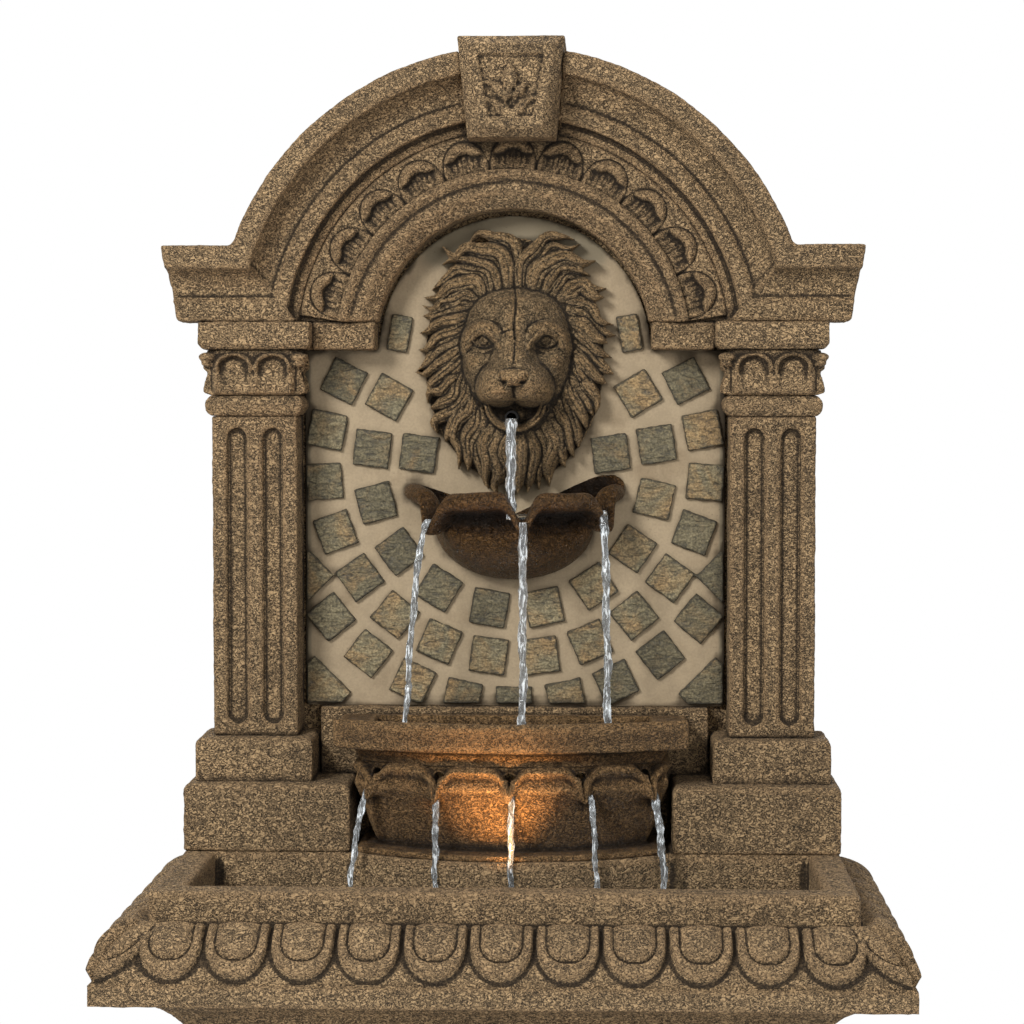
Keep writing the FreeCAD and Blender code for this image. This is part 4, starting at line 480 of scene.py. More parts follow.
def water_material(context):
    """Clear water with bright foam where the stream breaks up; the foamy streaks also glow as a painted
    glint.
    """
    name = "running water"
    if name in bpy.data.materials:
        return bpy.data.materials[name]
    colours = context.scene.fountain_colours
    material, graph, shader = new_material(name)
    place = graph.stretched(graph.place(), (1.0, 1.0, 0.16))
    streak = graph.noise(place, 420.0, 3.0, 0.62, 0.4)
    foam_and_glint = graph.band(streak, 0.5, 0.64)
    colour = graph.mix(foam_and_glint, colours.water_clear[:], colours.water[:])
    graph.feed(shader.inputs["Base Color"], colour)
    graph.feed(shader.inputs["Roughness"], graph.band(streak, 0.35, 0.65, 0.04, 0.22))
    # Painted glint: the foamy streaks glow with their own light
    shine = graph.times(foam_and_glint, 0.5)
    graph.feed(shader.inputs["Emission Color"], graph.shaded(colours.water[:], shine))
    finish_shader(graph, shader, streak, 0.8, 0.002,
                  {"Emission Strength": 1.0, "Transmission Weight": 0.75, "IOR": WATER_IOR})
    return material


def pool_material(context):
    """Still water with slow ripples."""
    name = "still water"
    if name in bpy.data.materials:
        return bpy.data.materials[name]
    colours = context.scene.fountain_colours
    material, graph, shader = new_material(name)
    ripple = graph.noise(graph.place(), 46.0, 2.0, 0.5, 0.6)
    colour = graph.mix(graph.band(ripple, 0.35, 0.7), colours.water_still[:], colours.water[:])
    graph.feed(shader.inputs["Base Color"], colour)
    graph.feed(shader.inputs["Roughness"], graph.band(ripple, 0.3, 0.7, 0.02, 0.08))
    finish_shader(graph, shader, ripple, 0.4, 0.004, {"Transmission Weight": 0.92, "IOR": WATER_IOR})
    return material


def object_from(name, shape):
    """A finished object from a bmesh."""
    mesh = bpy.data.meshes.new(name)
    shape.to_mesh(mesh)
    shape.free()
    obj = bpy.data.objects.new(name, mesh)
    bpy.context.scene.collection.objects.link(obj)
    return obj


def node_copy(*names):
    """Copies of CAD nodes in one bmesh, with their loose triangles merged."""
    shape = bmesh.new()
    for name in names:
        shape.from_mesh(NODES[name].data)
    bmesh.ops.remove_doubles(shape, verts=shape.verts, dist=MERGE_GAP)
    return shape


def take_in(shape, other):
    """Adds another bmesh to a shape and frees it."""
    mesh = bpy.data.meshes.new("carried over")
    other.to_mesh(mesh)
    other.free()
    shape.from_mesh(mesh)
    bpy.data.meshes.remove(mesh)


def settle(obj):
    """Turns the object's modifiers into its mesh."""
    bpy.context.view_layer.update()
    depsgraph = bpy.context.evaluated_depsgraph_get()
    mesh = bpy.data.meshes.new_from_object(obj.evaluated_get(depsgraph))
    obj.modifiers.clear()
    old = obj.data
    obj.data = mesh
    bpy.data.meshes.remove(old)


def only(items, kind):
    """The items of one bmesh type among those that an operator returns."""
    return [item for item in items if isinstance(item, kind)]


def everything(shape):
    return shape.verts[:] + shape.edges[:] + shape.faces[:]


def smooth_points(shape, verts, factor):
    bmesh.ops.smooth_vert(shape, verts=verts, factor=factor, use_axis_x=True, use_axis_y=True,
                          use_axis_z=True)


def mesh_points(mesh):
    points = np.empty(len(mesh.vertices) * 3, np.float32)
    mesh.vertices.foreach_get("co", points)
    return points.reshape(-1, 3).astype(np.float64)


def point_normals(mesh):
    normals = np.empty(len(mesh.vertices) * 3, np.float32)
    mesh.vertex_normals.foreach_get("vector", normals)
    return normals.reshape(-1, 3).astype(np.float64)


def set_points(mesh, points):
    mesh.vertices.foreach_set("co", points.astype(np.float32).ravel())
    mesh.update()


def store(mesh, name, values):
    attribute = mesh.attributes.get(name) or mesh.attributes.new(name, "FLOAT", "POINT")
    attribute.data.foreach_set("value", values.astype(np.float32))


# Smoothing rounds, and the depth in millimetres that then counts in full, of each mark of wear and painted
# crease shade
CLOSE_MARKS = ((2, 0.4),)
FORM_MARKS = ((2, 0.4), (14, 2.0))
DEEP_MARKS = ((3, 0.7), (50, 4.0))


def mark_wear_and_crease_shade(obj, marks=CLOSE_MARKS):
    """Stores how far each point stands out of its surroundings, from 0 in a crease to 1 on an edge; the
    finishes rub edges pale and paint a dark wash with shade into creases.
    """
    mesh = obj.data
    points = mesh_points(mesh)
    normals = point_normals(mesh)
    count = len(points)
    ends = np.empty(len(mesh.edges) * 2, np.int32)
    mesh.edges.foreach_get("vertices", ends)
    first, second = ends.reshape(-1, 2).T
    degree = np.maximum(np.bincount(ends, minlength=count), 1)
    wear = np.full(count, 0.5)
    for rounds, depth in marks:
        soft = points.copy()
        for _ in range(rounds):
            for axis in range(3):
                column = soft[:, axis]
                total = np.bincount(first, column[second], count) + np.bincount(second, column[first], count)
                soft[:, axis] = total / degree
        rise = ((points - soft) * normals).sum(1)
        wear += np.clip(0.5 * rise / (depth * MM), -0.5, 0.5)
    store(mesh, "wear", np.clip(wear, 0.0, 1.0))


def box_blur(grid, reach):
    """Averages a grid over a box of cells, one axis at a time."""
    for axis in range(3):
        span = 2 * reach + 1
        padding = [(0, 0)] * 3
        padding[axis] = (reach + 1, reach)
        total = np.cumsum(np.pad(grid, padding), axis=axis, dtype=np.float32)
        size = grid.shape[axis]
        upper = np.take(total, range(span, span + size), axis=axis)
        lower = np.take(total, range(0, size), axis=axis)
        grid = (upper - lower) / span
    return grid


# The grid that counts the surfaces near a point, and the count in the open and up from it to a joint
GRIME_SHADE_CELL = 3.0 * MM
GRIME_SHADE_REACH = 2
GRIME_SHADE_MARGIN = 60.0 * MM
OPEN_CROWD = 0.14
CROWD_SPAN = 0.2

# How far backwards a face may look and still be counted
BACKWARD = 0.6


def mark_grime_and_shade(objects):
    """Stores how closed in each point is by the surfaces near it, from 0 in the open to 1 in a joint; the
    finishes paint shade, with dirt, where it is high.
    """
    low = np.array(CAD_LOW) - GRIME_SHADE_MARGIN
    shape = np.ceil((np.array(CAD_HIGH) + GRIME_SHADE_MARGIN - low) / GRIME_SHADE_CELL).astype(int)
    grid = np.zeros(shape, np.float32)
    clouds = []
    for obj in objects:
        points = mesh_points(obj.data)
        normals = point_normals(obj.data)
        clouds.append((obj, points, normals))
        spots = np.clip(((points - low) / GRIME_SHADE_CELL).astype(int), 0, shape - 1)
        spots = spots[normals[:, 1] < BACKWARD]
        grid[spots[:, 0], spots[:, 1], spots[:, 2]] = 1.0
    grid = box_blur(box_blur(grid, GRIME_SHADE_REACH), GRIME_SHADE_REACH)
    for obj, points, normals in clouds:
        spots = ((points + normals * (GRIME_SHADE_CELL * GRIME_SHADE_REACH * 1.1) - low) / GRIME_SHADE_CELL).astype(int)
        spots = np.clip(spots, 0, shape - 1)
        crowd = grid[spots[:, 0], spots[:, 1], spots[:, 2]]
        store(obj.data, "grime", np.clip((crowd - OPEN_CROWD) / CROWD_SPAN, 0.0, 1.0))


# Size in metres and depth of the cloudy patterns that uneven a surface
UNEVENNESS = {
    "slow unevenness": (0.035, 2),
    "close roughness": (0.0065, 2),
    "riven face": (0.014, 3),
    "broken water": (0.006, 2),
}


def cloud_texture(name):
    if name in bpy.data.textures:
        return bpy.data.textures[name]
    texture = bpy.data.textures.new(name, "CLOUDS")
    texture.noise_scale, texture.noise_depth = UNEVENNESS[name]
    return texture


def displace(obj, name, strength):
    """Unevens an object by one of the cloudy patterns; the strength is in millimetres."""
    uneven = obj.modifiers.new(name, "DISPLACE")
    uneven.texture = cloud_texture(name)
    uneven.strength = strength * MM
    uneven.texture_coords = "LOCAL"


def soften(obj, voxel, rounds=1):
    """Gives an object one closed skin with rounded edges."""
    remesh = obj.modifiers.new("casting skin", "REMESH")
    remesh.mode = "VOXEL"
    remesh.voxel_size = voxel
    ease_edges = obj.modifiers.new("rounded edges", "SMOOTH")
    ease_edges.iterations = rounds
    ease_edges.factor = 0.5


def round_off(obj, levels):
    rounding = obj.modifiers.new("rounding", "SUBSURF")
    rounding.levels = levels
    rounding.render_levels = levels


def shade_smooth(obj):
    obj.data.polygons.foreach_set("use_smooth", np.ones(len(obj.data.polygons), bool))


def hand_in(obj, body, slot, material, *nodes):
    """Gives a finished piece its material and its body, and hides the nodes that it stands for; the slot is
    not used.
    """
    obj.data.materials.clear()
    obj.data.materials.append(material)
    shade_smooth(obj)
    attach(obj, body)
    if nodes:
        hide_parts(*nodes)


def finish_stone(context, obj, nodes, kind="dry", wave=0.0, pit=0.8, marks=CLOSE_MARKS):
    """Marks the wear and the painted crease shade of a formed piece, roughens it and hands it in; wave and
    pit are millimetres.
    """
    settle(obj)
    mark_wear_and_crease_shade(obj, marks)
    if wave:
        displace(obj, "slow unevenness", wave)
    displace(obj, "close roughness", pit)
    settle(obj)
    hand_in(obj, STONE_BODY, "cast_stone", stone_material(context, kind), *nodes)


MOST_WAVE = 1.2


def worn_casting(context, node, voxel=None, strength=1.0):
    """One cast block: the CAD form with rounded edges, unevenness, pits and wear."""
    sizes = context.scene.fountain_sizes
    obj = object_from("stone_" + node, node_copy(node))
    soften(obj, voxel or sizes.block_grain)
    wave = sizes.wave_height / MM * min(strength, MOST_WAVE)
    finish_stone(context, obj, [node], wave=wave, pit=sizes.pit_height / MM * strength)


def dress_nodes(material, *names):
    """Gives CAD nodes that stay visible a finish."""
    for name in names:
        mesh = NODES[name].data
        mesh.materials.clear()
        mesh.materials.append(material)


def ease(value, low, high):
    """Smooth step from 0 at low to 1 at high."""
    share = np.clip((value - low) / (high - low), 0.0, 1.0)
    return share * share * (3.0 - 2.0 * share)


def cap(across, along, x, z, half, tall):
    """Half an ellipsoid: 1 at its middle, 0 at its edge."""
    return np.sqrt(np.clip(1.0 - ((across - x) / half) ** 2 - ((along - z) / tall) ** 2, 0.0, None))


def swell(across, along, x, z, half, tall):
    """A soft bump that fades out all round."""
    return np.exp(-((across - x) / half) ** 2 - ((along - z) / tall) ** 2)


def blend_high(first, second, soft):
    """The higher of two surfaces, with a fillet between them."""
    return 0.5 * (first + second + np.sqrt((first - second) ** 2 + soft * soft))


def smooth_line(points):
    """Points on a smooth line through the given ones."""
    points = np.array(points, float)
    padded = np.vstack([2 * points[0] - points[1], points, 2 * points[-1] - points[-2]])
    line = []
    for index in range(len(points) - 1):
        a, b, c, d = padded[index:index + 4]
        for share in (0.0, 0.25, 0.5, 0.75):
            square, cube = share ** 2, share ** 3
            line.append(0.5 * (2 * b + (c - a) * share + (2 * a - 5 * b + 4 * c - d) * square
                               + (3 * b - a - 3 * c + d) * cube))
    line.append(points[-1])
    return np.array(line)


def run_along(across, along, points):
    """How far each spot lies from a smooth line, on which side, and how far along it, from 0 to 1."""
    line = smooth_line(points)
    steps = np.linalg.norm(np.diff(line, axis=0), axis=1)
    walked = np.concatenate([[0.0], np.cumsum(steps)])
    best = np.full(across.shape, 1e9)
    side = np.zeros(across.shape)
    share = np.zeros(across.shape)
    for index, length in enumerate(steps):
        start, end = line[index], line[index + 1]
        way = (end - start) / length
        off_x, off_z = across - start[0], along - start[1]
        reach = np.clip(off_x * way[0] + off_z * way[1], 0.0, length)
        gap = np.hypot(off_x - reach * way[0], off_z - reach * way[1])
        nearer = gap < best
        best = np.where(nearer, gap, best)
        turn = off_x * way[1] - off_z * way[0]
        side = np.where(nearer, np.sign(turn) * gap, side)
        share = np.where(nearer, (walked[index] + reach) / walked[-1], share)
    return best, side, share


def ridge(across, along, points, width):
    """A round-backed line that keeps its width: 1 on the line, 0 at its edge."""
    gap = run_along(across, along, points)[0]
    return np.clip(1.0 - (gap / width) ** 2, 0.0, None)


def upright(x, y, z):
    """A plane that faces the front, from its origin in millimetres."""
    return (x, y, z), (1.0, 0.0, 0.0), (0.0, 0.0, 1.0)


BORDER_ROUNDS = 3


def relief(plane, columns, rows, layout, carve, back, holed=False):
    """A carved sheet: a grid laid out on a plane, raised by carve and closed behind.

    plane is its origin in millimetres with its across and up directions. Spots that carve puts
    below zero are left out, and the back lies that many millimetres behind the plane. A holed
    sheet keeps its holes open at the back too.
    """
    origin, right, up = (np.array(item, float) for item in plane)
    out = np.cross(right, up)
    shape = bmesh.new()
    bmesh.ops.create_grid(shape, x_segments=columns, y_segments=rows, size=0.5)
    spots = np.array([vert.co[:2] for vert in shape.verts]) + 0.5
    across, along = layout(spots[:, 0], spots[:, 1])
    rise = carve(across, along)
    kept = rise >= 0.0
    places = (origin + across[:, None] * right + along[:, None] * up + rise[:, None] * out) * MM
    lost = []
    for vert, place, stays in zip(shape.verts, places, kept):
        vert.co = place
        if not stays:
            lost.append(vert)
    bmesh.ops.delete(shape, geom=lost, context="VERTS")
    loose = [vert for vert in shape.verts if not vert.link_faces]
    bmesh.ops.delete(shape, geom=loose, context="VERTS")
    if lost:
        for _ in range(BORDER_ROUNDS):
            smooth_points(shape, [vert for vert in shape.verts if vert.is_boundary], 0.4)
    if holed:
        wall = bmesh.ops.extrude_face_region(shape, geom=shape.faces[:], use_keep_orig=True)["geom"]
    else:
        border = [edge for edge in shape.edges if edge.is_boundary]
        wall = bmesh.ops.extrude_edge_only(shape, edges=border)["geom"]
    for vert in only(wall, bmesh.types.BMVert):
        depth = float(np.dot(np.array(vert.co) / MM - origin, out))
        vert.co -= Vector(out * (depth + back) * MM)
    if not holed:
        bmesh.ops.holes_fill(shape, edges=only(wall, bmesh.types.BMEdge), sides=0)
    bmesh.ops.recalc_face_normals(shape, faces=shape.faces)
    return shape


# Camera: its place in metres, degrees down and to the left, and millimetres of its lens and sensor
CAMERA_SPOT = (0.098, -2.600, 0.916)
CAMERA_DOWN = 2.927
CAMERA_LEFT = 2.098
CAMERA_LENS = 90.13
CAMERA_SENSOR = 36.0

# Place, aim, size and power of the studio lights
STUDIO_LIGHTS = {
    "key light": ((-1.5, -2.5, 2.3), (0.0, 0.0, 0.8), 0.9, 92.0),
    "fill light": ((1.2, -2.9, 1.2), (0.0, 0.0, 0.75), 2.0, 27.0),
    "top light": ((0.0, 0.2, 3.2), (0.0, 0.0, 0.7), 1.6, 14.0),
}

# The trough lamp's aim, power, spread in degrees and size
GLOW_AIM = (-0.015, 0.02, 0.515)
GLOW_POWER = 2.6
GLOW_SPREAD = 84.0
GLOW_SIZE = 0.012

# Strength of the white surroundings where they are seen and where they only light
WHITE_SEEN = 1.0
WHITE_LIGHTING = 0.42


class FOUNTAIN_OT_stage(bpy.types.Operator):
    """Camera, soft studio light, pale floor and white surroundings"""

    bl_idname = "fountain.stage"
    bl_label = "Stage"

    def execute(self, context):
        scene = context.scene
        scene.view_settings.view_transform = "Standard"
        lens = bpy.data.cameras.new("camera")
        lens.sensor_width = CAMERA_SENSOR
        lens.lens = CAMERA_LENS
        camera = bpy.data.objects.new("camera", lens)
        camera.location = CAMERA_SPOT
        camera.rotation_euler = (math.radians(90.0 - CAMERA_DOWN), 0.0, math.radians(CAMERA_LEFT))
        scene.collection.objects.link(camera)
        scene.camera = camera
        for name, (spot, aim, size, power) in STUDIO_LIGHTS.items():
            lamp = bpy.data.lights.new(name, "AREA")
            lamp.size = size
            lamp.energy = power
            self.put(scene, name, lamp, spot, aim)
        self.glow(context)
        self.surroundings(scene)
        self.floor()
        return {"FINISHED"}

    def put(self, scene, name, lamp, spot, aim):
        obj = bpy.data.objects.new(name, lamp)
        obj.location = spot
        obj.rotation_euler = (Vector(aim) - Vector(spot)).to_track_quat("-Z", "Y").to_euler()
        scene.collection.objects.link(obj)

    def glow(self, context):
        """The warm light that the lamp in the trough throws up on the lower bowl."""
        low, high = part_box("light_lens")
        middle = (low + high) / 2
        lamp = bpy.data.lights.new("trough lamp", "SPOT")
        lamp.color = context.scene.fountain_colours.glow
        lamp.energy = GLOW_POWER
        lamp.spot_size = math.radians(GLOW_SPREAD)
        lamp.spot_blend = 0.9
        lamp.shadow_soft_size = GLOW_SIZE
        spot = (middle.x, middle.y + 0.004, high.z + GLOW_SIZE)
        self.put(context.scene, "trough lamp", lamp, spot, GLOW_AIM)

    def surroundings(self, scene):
        """White where it is seen, and weaker where it only lights the pieces."""
        world = bpy.data.worlds.new("studio")
        scene.world = world
        world.use_nodes = True
        graph = Graph(world.node_tree)
        path = graph.node("LightPath")
        seen = graph.larger(path.outputs["Is Camera Ray"], path.outputs["Is Glossy Ray"])
        seen = graph.larger(seen, path.outputs["Is Transmission Ray"])
        strength = graph.plus(WHITE_LIGHTING, graph.times(seen, WHITE_SEEN - WHITE_LIGHTING))
        background = world.node_tree.nodes["Background"]
        background.inputs["Color"].default_value = (1.0, 1.0, 1.0, 1.0)
        graph.feed(background.inputs["Strength"], strength)

    def floor(self):
        shape = bmesh.new()
        bmesh.ops.create_circle(shape, cap_ends=True, segments=96, radius=1.05)
        obj = object_from("floor", shape)
        material, graph, shader = new_material("pale floor")
        shade = graph.band(graph.noise(graph.place(), 6.0, 3.0), 0.3, 0.7, 0.86, 0.9)
        graph.feed(shader.inputs["Base Color"], graph.grey(shade))
        shader.inputs["Roughness"].default_value = 0.9
        obj.data.materials.append(material)


class FOUNTAIN_OT_base(bpy.types.Operator):
    """Pedestal and basin"""

    bl_idname = "fountain.base"
    bl_label = "Pedestal and basin"

    def execute(self, context):
        sizes = context.scene.fountain_sizes
        worn_casting(context, "pedestal", sizes.pedestal_grain)
        worn_casting(context, "basin", sizes.basin_grain, strength=1.25)
        return {"FINISHED"}


# The slanted band of eggs in millimetres: its edges, how far it goes out and down, and its eggs
BAND_TOP = 390.0
BAND_HALF = 342.5
BAND_FRONT = 166.5
BAND_BACK = 190.0
BAND_RUN = 45.5
BAND_FALL = 45.0
BAND_LENGTH = 64.0
BAND_BULGE = 13.0
BAND_CELL = 1.3
FRONT_EGGS = 11
SIDE_EGGS = 6
SIDE_EGG_START = 130.0
SIDE_EGG_PITCH = 59.0
EGG_SHOULDER = 26.0
EGG_SIZE = (20.0, 21.0)
COLLAR_SIZE = (30.6, 36.5)

# Power of the ovals that the eggs and their collars are drawn with
SQUARENESS = 2.4


def rounded(across, along, half, tall):
    """0 in the middle and 1 on the outline of a squarish oval."""
    total = (np.abs(across) / half) ** SQUARENESS + (np.abs(along) / tall) ** SQUARENESS
    return total ** (1.0 / SQUARENESS)


def egg(across, down):
    """One egg in its collar: a dome under the rim, a groove and a round-bottomed band."""
    below = np.maximum(down - EGG_SHOULDER, 0.0)
    inner = rounded(across, below, *EGG_SIZE)
    outer = rounded(across, below, *COLLAR_SIZE)
    dome = 6.0 + 7.0 * np.sqrt(np.clip(1.0 - inner ** 2, 0.0, None))
    groove = 4.0 * np.exp(-((inner - 1.04) / 0.045) ** 2)
    collar = 9.5 * ease(outer, 1.0, 0.92)
    height = np.where(inner < 1.0, dome, collar) - groove
    return np.where(outer < 1.0, np.maximum(height, 0.6), 0.0)


class FOUNTAIN_OT_eggs(bpy.types.Operator):
    """Band of eggs round the basin"""

    bl_idname = "fountain.eggs"
    bl_label = "Egg band"

    def execute(self, context):
        pitch = context.scene.fountain_sizes.egg_pitch / MM
        run = BAND_RUN / BAND_LENGTH
        fall = BAND_FALL / BAND_LENGTH
        front = ((0.0, -BAND_FRONT, BAND_TOP), (1.0, 0.0, 0.0), (0.0, run, fall))
        left = ((-BAND_HALF, 0.0, BAND_TOP), (0.0, -1.0, 0.0), (run, 0.0, fall))
        right = ((BAND_HALF, 0.0, BAND_TOP), (0.0, 1.0, 0.0), (-run, 0.0, fall))
        front_eggs = [pitch * (index - FRONT_EGGS // 2) for index in range(FRONT_EGGS)]
        side_eggs = [SIDE_EGG_START - SIDE_EGG_PITCH * index for index in range(SIDE_EGGS)]
        shape = self.strip(front, (-BAND_HALF, BAND_HALF), (1, 1), front_eggs)
        take_in(shape, self.strip(left, (-BAND_BACK, BAND_FRONT), (0, 1), side_eggs))
        take_in(shape, self.strip(right, (-BAND_FRONT, BAND_BACK), (1, 0), [-spot for spot in side_eggs]))
        obj = object_from("stone_egg_band", shape)
        finish_stone(context, obj, ["egg_ornaments"], pit=0.9, marks=FORM_MARKS)
        return {"FINISHED"}

    def strip(self, plane, ends, mitres, spots):
        """One side of the band, with mitred ends where the corner eggs fold round."""

        def spread(down, index):
            return BAND_RUN * mitres[index] * down / BAND_LENGTH

        def layout(u, v):
            down = (1.0 - v) * (BAND_LENGTH + 2.0) - 1.0
            start = ends[0] - spread(down, 0) * ease(u, 0.12, 0.0)
            end = ends[1] + spread(down, 1) * ease(u, 0.88, 1.0)
            return start + (end - start) * u, -down

        def carve(across, along):
            down = -along
            height = np.full(across.shape, 0.4)
            for spot in spots:
                height = np.maximum(height, egg(across - spot, down))
            for index in (0, 1):
                if mitres[index]:
                    reach = abs(ends[index]) + spread(down, index)
                    gap = reach - across * (1 if index else -1)
                    height = np.maximum(height, egg(gap * 1.12, down))
            bulge = BAND_BULGE * np.sin(np.clip(down / BAND_LENGTH, 0.0, 1.0) * math.pi) ** 0.7
            return 0.2 + (height + bulge) * ease(down, -1.0, 4.0)

        return relief(plane, int((ends[1] - ends[0]) / BAND_CELL), 50, layout, carve, 3.0)


def leaf(across, up, half, tall, shoulder, lip_edge=0.54, ribbing=0.5):
    """A leaf in a round-headed niche: a curled lip under the head, a hollow below it and a veined blade."""
    above = np.maximum(up - shoulder, 0.0)
    niche = np.hypot(across / half, above / (tall - shoulder))
    blade = 6.0 - 5.0 * ease(up, 0.15 * tall, 0.62 * tall)
    ribs = ribbing * np.cos(across * (2.0 * math.pi / 6.0)) * ease(np.abs(across), 0.8 * half, 0.3 * half)
    ribs = ribs * ease(up, 0.1 * tall, 0.3 * tall)
    vein = 1.5 * np.exp(-(across / 0.9) ** 2) * ease(up, 0.6 * tall, 0.5 * tall)
    sides = 3.5 * ease(np.abs(across), 0.6 * half, 0.9 * half)
    roll = 5.0 + 5.0 * np.sin(np.clip((1.0 - niche) / (0.98 - lip_edge), 0.0, 1.0) * math.pi) ** 0.8
    lip = roll * ease(niche, lip_edge, lip_edge + 0.06) * ease(up, 0.46 * tall, 0.62 * tall)
    inside = np.maximum(blade + ribs - vein + sides, lip)
    line = 1.6 * np.exp(-((niche - 0.99) / 0.03) ** 2)
    return np.where(niche < 1.0, np.maximum(inside, 0.2), 5.2) - line


class FOUNTAIN_OT_columns(bpy.types.Operator):
    """Plinths, columns, neckings, abaci and imposts"""

    bl_idname = "fountain.columns"
    bl_label = "Columns"

    def execute(self, context):
        for side in ("left", "right"):
            for part in ("lower_plinth", "upper_plinth", "column", "necking", "abacus", "impost"):
                strength = 1.5 if part == "lower_plinth" else 1.0
                worn_casting(context, part + "_" + side, strength=strength)
        return {"FINISHED"}


# The capitals in millimetres: their bell, their leaves and how far aside their curls are
BELL_WIDTH = 88.0
BELL_FRONT = 95.0
LEAF_PLANE = 94.0
LEAF_HALF = 20.6
LEAF_TALL = 45.0
LEAF_SHOULDER = 30.0
LEAF_CELL = 1.1
FRONT_LEAVES_HALF = 43.0
SIDE_LEAF_MIDDLE = 118.0
SIDE_LEAF_HALF = 24.0
CURL_ASIDE = 48.5

# Depth, level and size of the curls at each corner
CURLS = ((90.0, 941.0, 8.0), (92.0, 934.5, 6.0))

# Where the bell begins to flare, as a share of its height above its middle
BELL_NECK = 0.15


class FOUNTAIN_OT_capitals(bpy.types.Operator):
    """Leafy capitals"""

    bl_idname = "fountain.capitals"
    bl_label = "Capitals"

    def execute(self, context):
        sizes = context.scene.fountain_sizes
        for side in ("left", "right"):
            node = "capital_" + side
            low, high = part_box(node)
            middle = (low.x + high.x) / 2 / MM
            bottom = low.z / MM
            shape = self.bell(middle, bottom, high.z / MM)
            front = upright(middle, LEAF_PLANE, bottom)
            take_in(shape, self.leaves(front, (-LEAF_HALF, LEAF_HALF), FRONT_LEAVES_HALF))
            for face in (-1, 1):
                origin = (middle + BELL_WIDTH / 2 * face, SIDE_LEAF_MIDDLE, bottom)
                plane = (origin, (0.0, float(face), 0.0), (0.0, 0.0, 1.0))
                take_in(shape, self.leaves(plane, (-2.0 * face,), SIDE_LEAF_HALF))
                for depth, level, size in CURLS:
                    take_in(shape, self.curl((middle + CURL_ASIDE * face, depth, level), size))
            obj = object_from("stone_" + node, shape)
            soften(obj, sizes.carving_grain)
            finish_stone(context, obj, [node], wave=0.6, pit=0.7, marks=FORM_MARKS)
        return {"FINISHED"}

    def bell(self, middle, bottom, top):
        """Block behind the leaves, which flares out above its neck."""
        shape = bmesh.new()
        bmesh.ops.create_cube(shape, size=1.0)
        bmesh.ops.subdivide_edges(shape, edges=shape.edges[:], cuts=5, use_grid_fill=True)
        for vert in shape.verts:
            above = max(vert.co.z - BELL_NECK, 0.0)
            front = BELL_FRONT - 10.0 * above
            vert.co.x = (middle + vert.co.x * BELL_WIDTH * (1.0 + 0.16 * above)) * MM
            vert.co.y = (front + (WALL_FACE - front) * (vert.co.y + 0.5)) * MM
            vert.co.z = (bottom + (top - bottom) * (vert.co.z + 0.5)) * MM
        return shape

    def leaves(self, plane, spots, half):
        """One face of the capital with a leaf at each spot."""

        def layout(u, v):
            return (u * 2.0 - 1.0) * half, v * (LEAF_TALL + 2.0)

        def carve(across, along):
            height = np.full(across.shape, 3.0)
            for spot in spots:
                inside = np.abs(across - spot) < LEAF_HALF + 0.2
                blade = leaf(across - spot, along, LEAF_HALF, LEAF_TALL, LEAF_SHOULDER, 0.7, 0.15)
                height = np.where(inside, blade, height)
            return 0.6 + height * ease(along, -1.0, 3.0)

        return relief(plane, int(half * 2.0 / LEAF_CELL), 44, layout, carve, 6.0)

    def curl(self, spot, size):
        shape = bmesh.new()
        bmesh.ops.create_uvsphere(shape, u_segments=20, v_segments=12, radius=size * MM)
        bmesh.ops.scale(shape, verts=shape.verts, vec=(1.15, 1.1, 0.62))
        bmesh.ops.translate(shape, verts=shape.verts, vec=Vector(spot) * MM)
        return shape


# The arch in millimetres: its bead, the bead's start above the centre, and its row of leaves
BEAD_RADIUS = 180.0
BEAD_DEPTH = 97.0
BEAD_THICKNESS = 5.5
BEAD_FOOT = 27.0
ROW_INNER = 182.5
ROW_WIDTH = 47.0
ROW_DEPTH = 108.0
ROW_LEAF_HALF = 25.2
ROW_LEAF_TALL = 39.0
ROW_LEAF_SHOULDER = 9.0

# Degrees of the whole row and from leaf to leaf, and how many leaves stand on each side of the middle
ROW_SPAN = 162.6
ROW_STEP = 14.7
ROW_EACH_SIDE = 5


class FOUNTAIN_OT_arch(bpy.types.Operator):
    """Arch moulding with its cornice ends, and the rough apron"""

    bl_idname = "fountain.arch"
    bl_label = "Arch"

    def execute(self, context):
        sizes = context.scene.fountain_sizes
        nodes = ["cornice_left", "arch_moulding", "cornice_right"]
        shape = node_copy(*nodes)
        take_in(shape, self.bead())
        obj = object_from("stone_arch", shape)
        soften(obj, sizes.arch_grain)
        finish_stone(context, obj, nodes, wave=sizes.wave_height / MM, pit=sizes.pit_height / MM)
        worn_casting(context, "apron", strength=1.7)
        dress_nodes(stone_material(context, "bare"), "wall_core")
        return {"FINISHED"}

    def bead(self):
        """Half ring on the inner band of the arch, standing on the imposts."""
        foot = (BEAD_RADIUS * MM, BEAD_DEPTH * MM, (ARCH_CENTRE + BEAD_FOOT) * MM)
        start = math.asin(BEAD_FOOT / BEAD_RADIUS)
        shape = bmesh.new()
        ring = bmesh.ops.create_circle(shape, cap_ends=True, segments=12, radius=BEAD_THICKNESS * MM,
                                       matrix=Matrix.Translation(foot))
        bmesh.ops.rotate(shape, verts=ring["verts"], cent=foot, matrix=Matrix.Rotation(-start, 3, "Y"))
        bmesh.ops.spin(shape, geom=everything(shape), cent=(0.0, BEAD_DEPTH * MM, ARCH_CENTRE * MM),
                       axis=(0.0, -1.0, 0.0), angle=math.pi - 2.0 * start, steps=90)
        bmesh.ops.recalc_face_normals(shape, faces=shape.faces)
        return shape


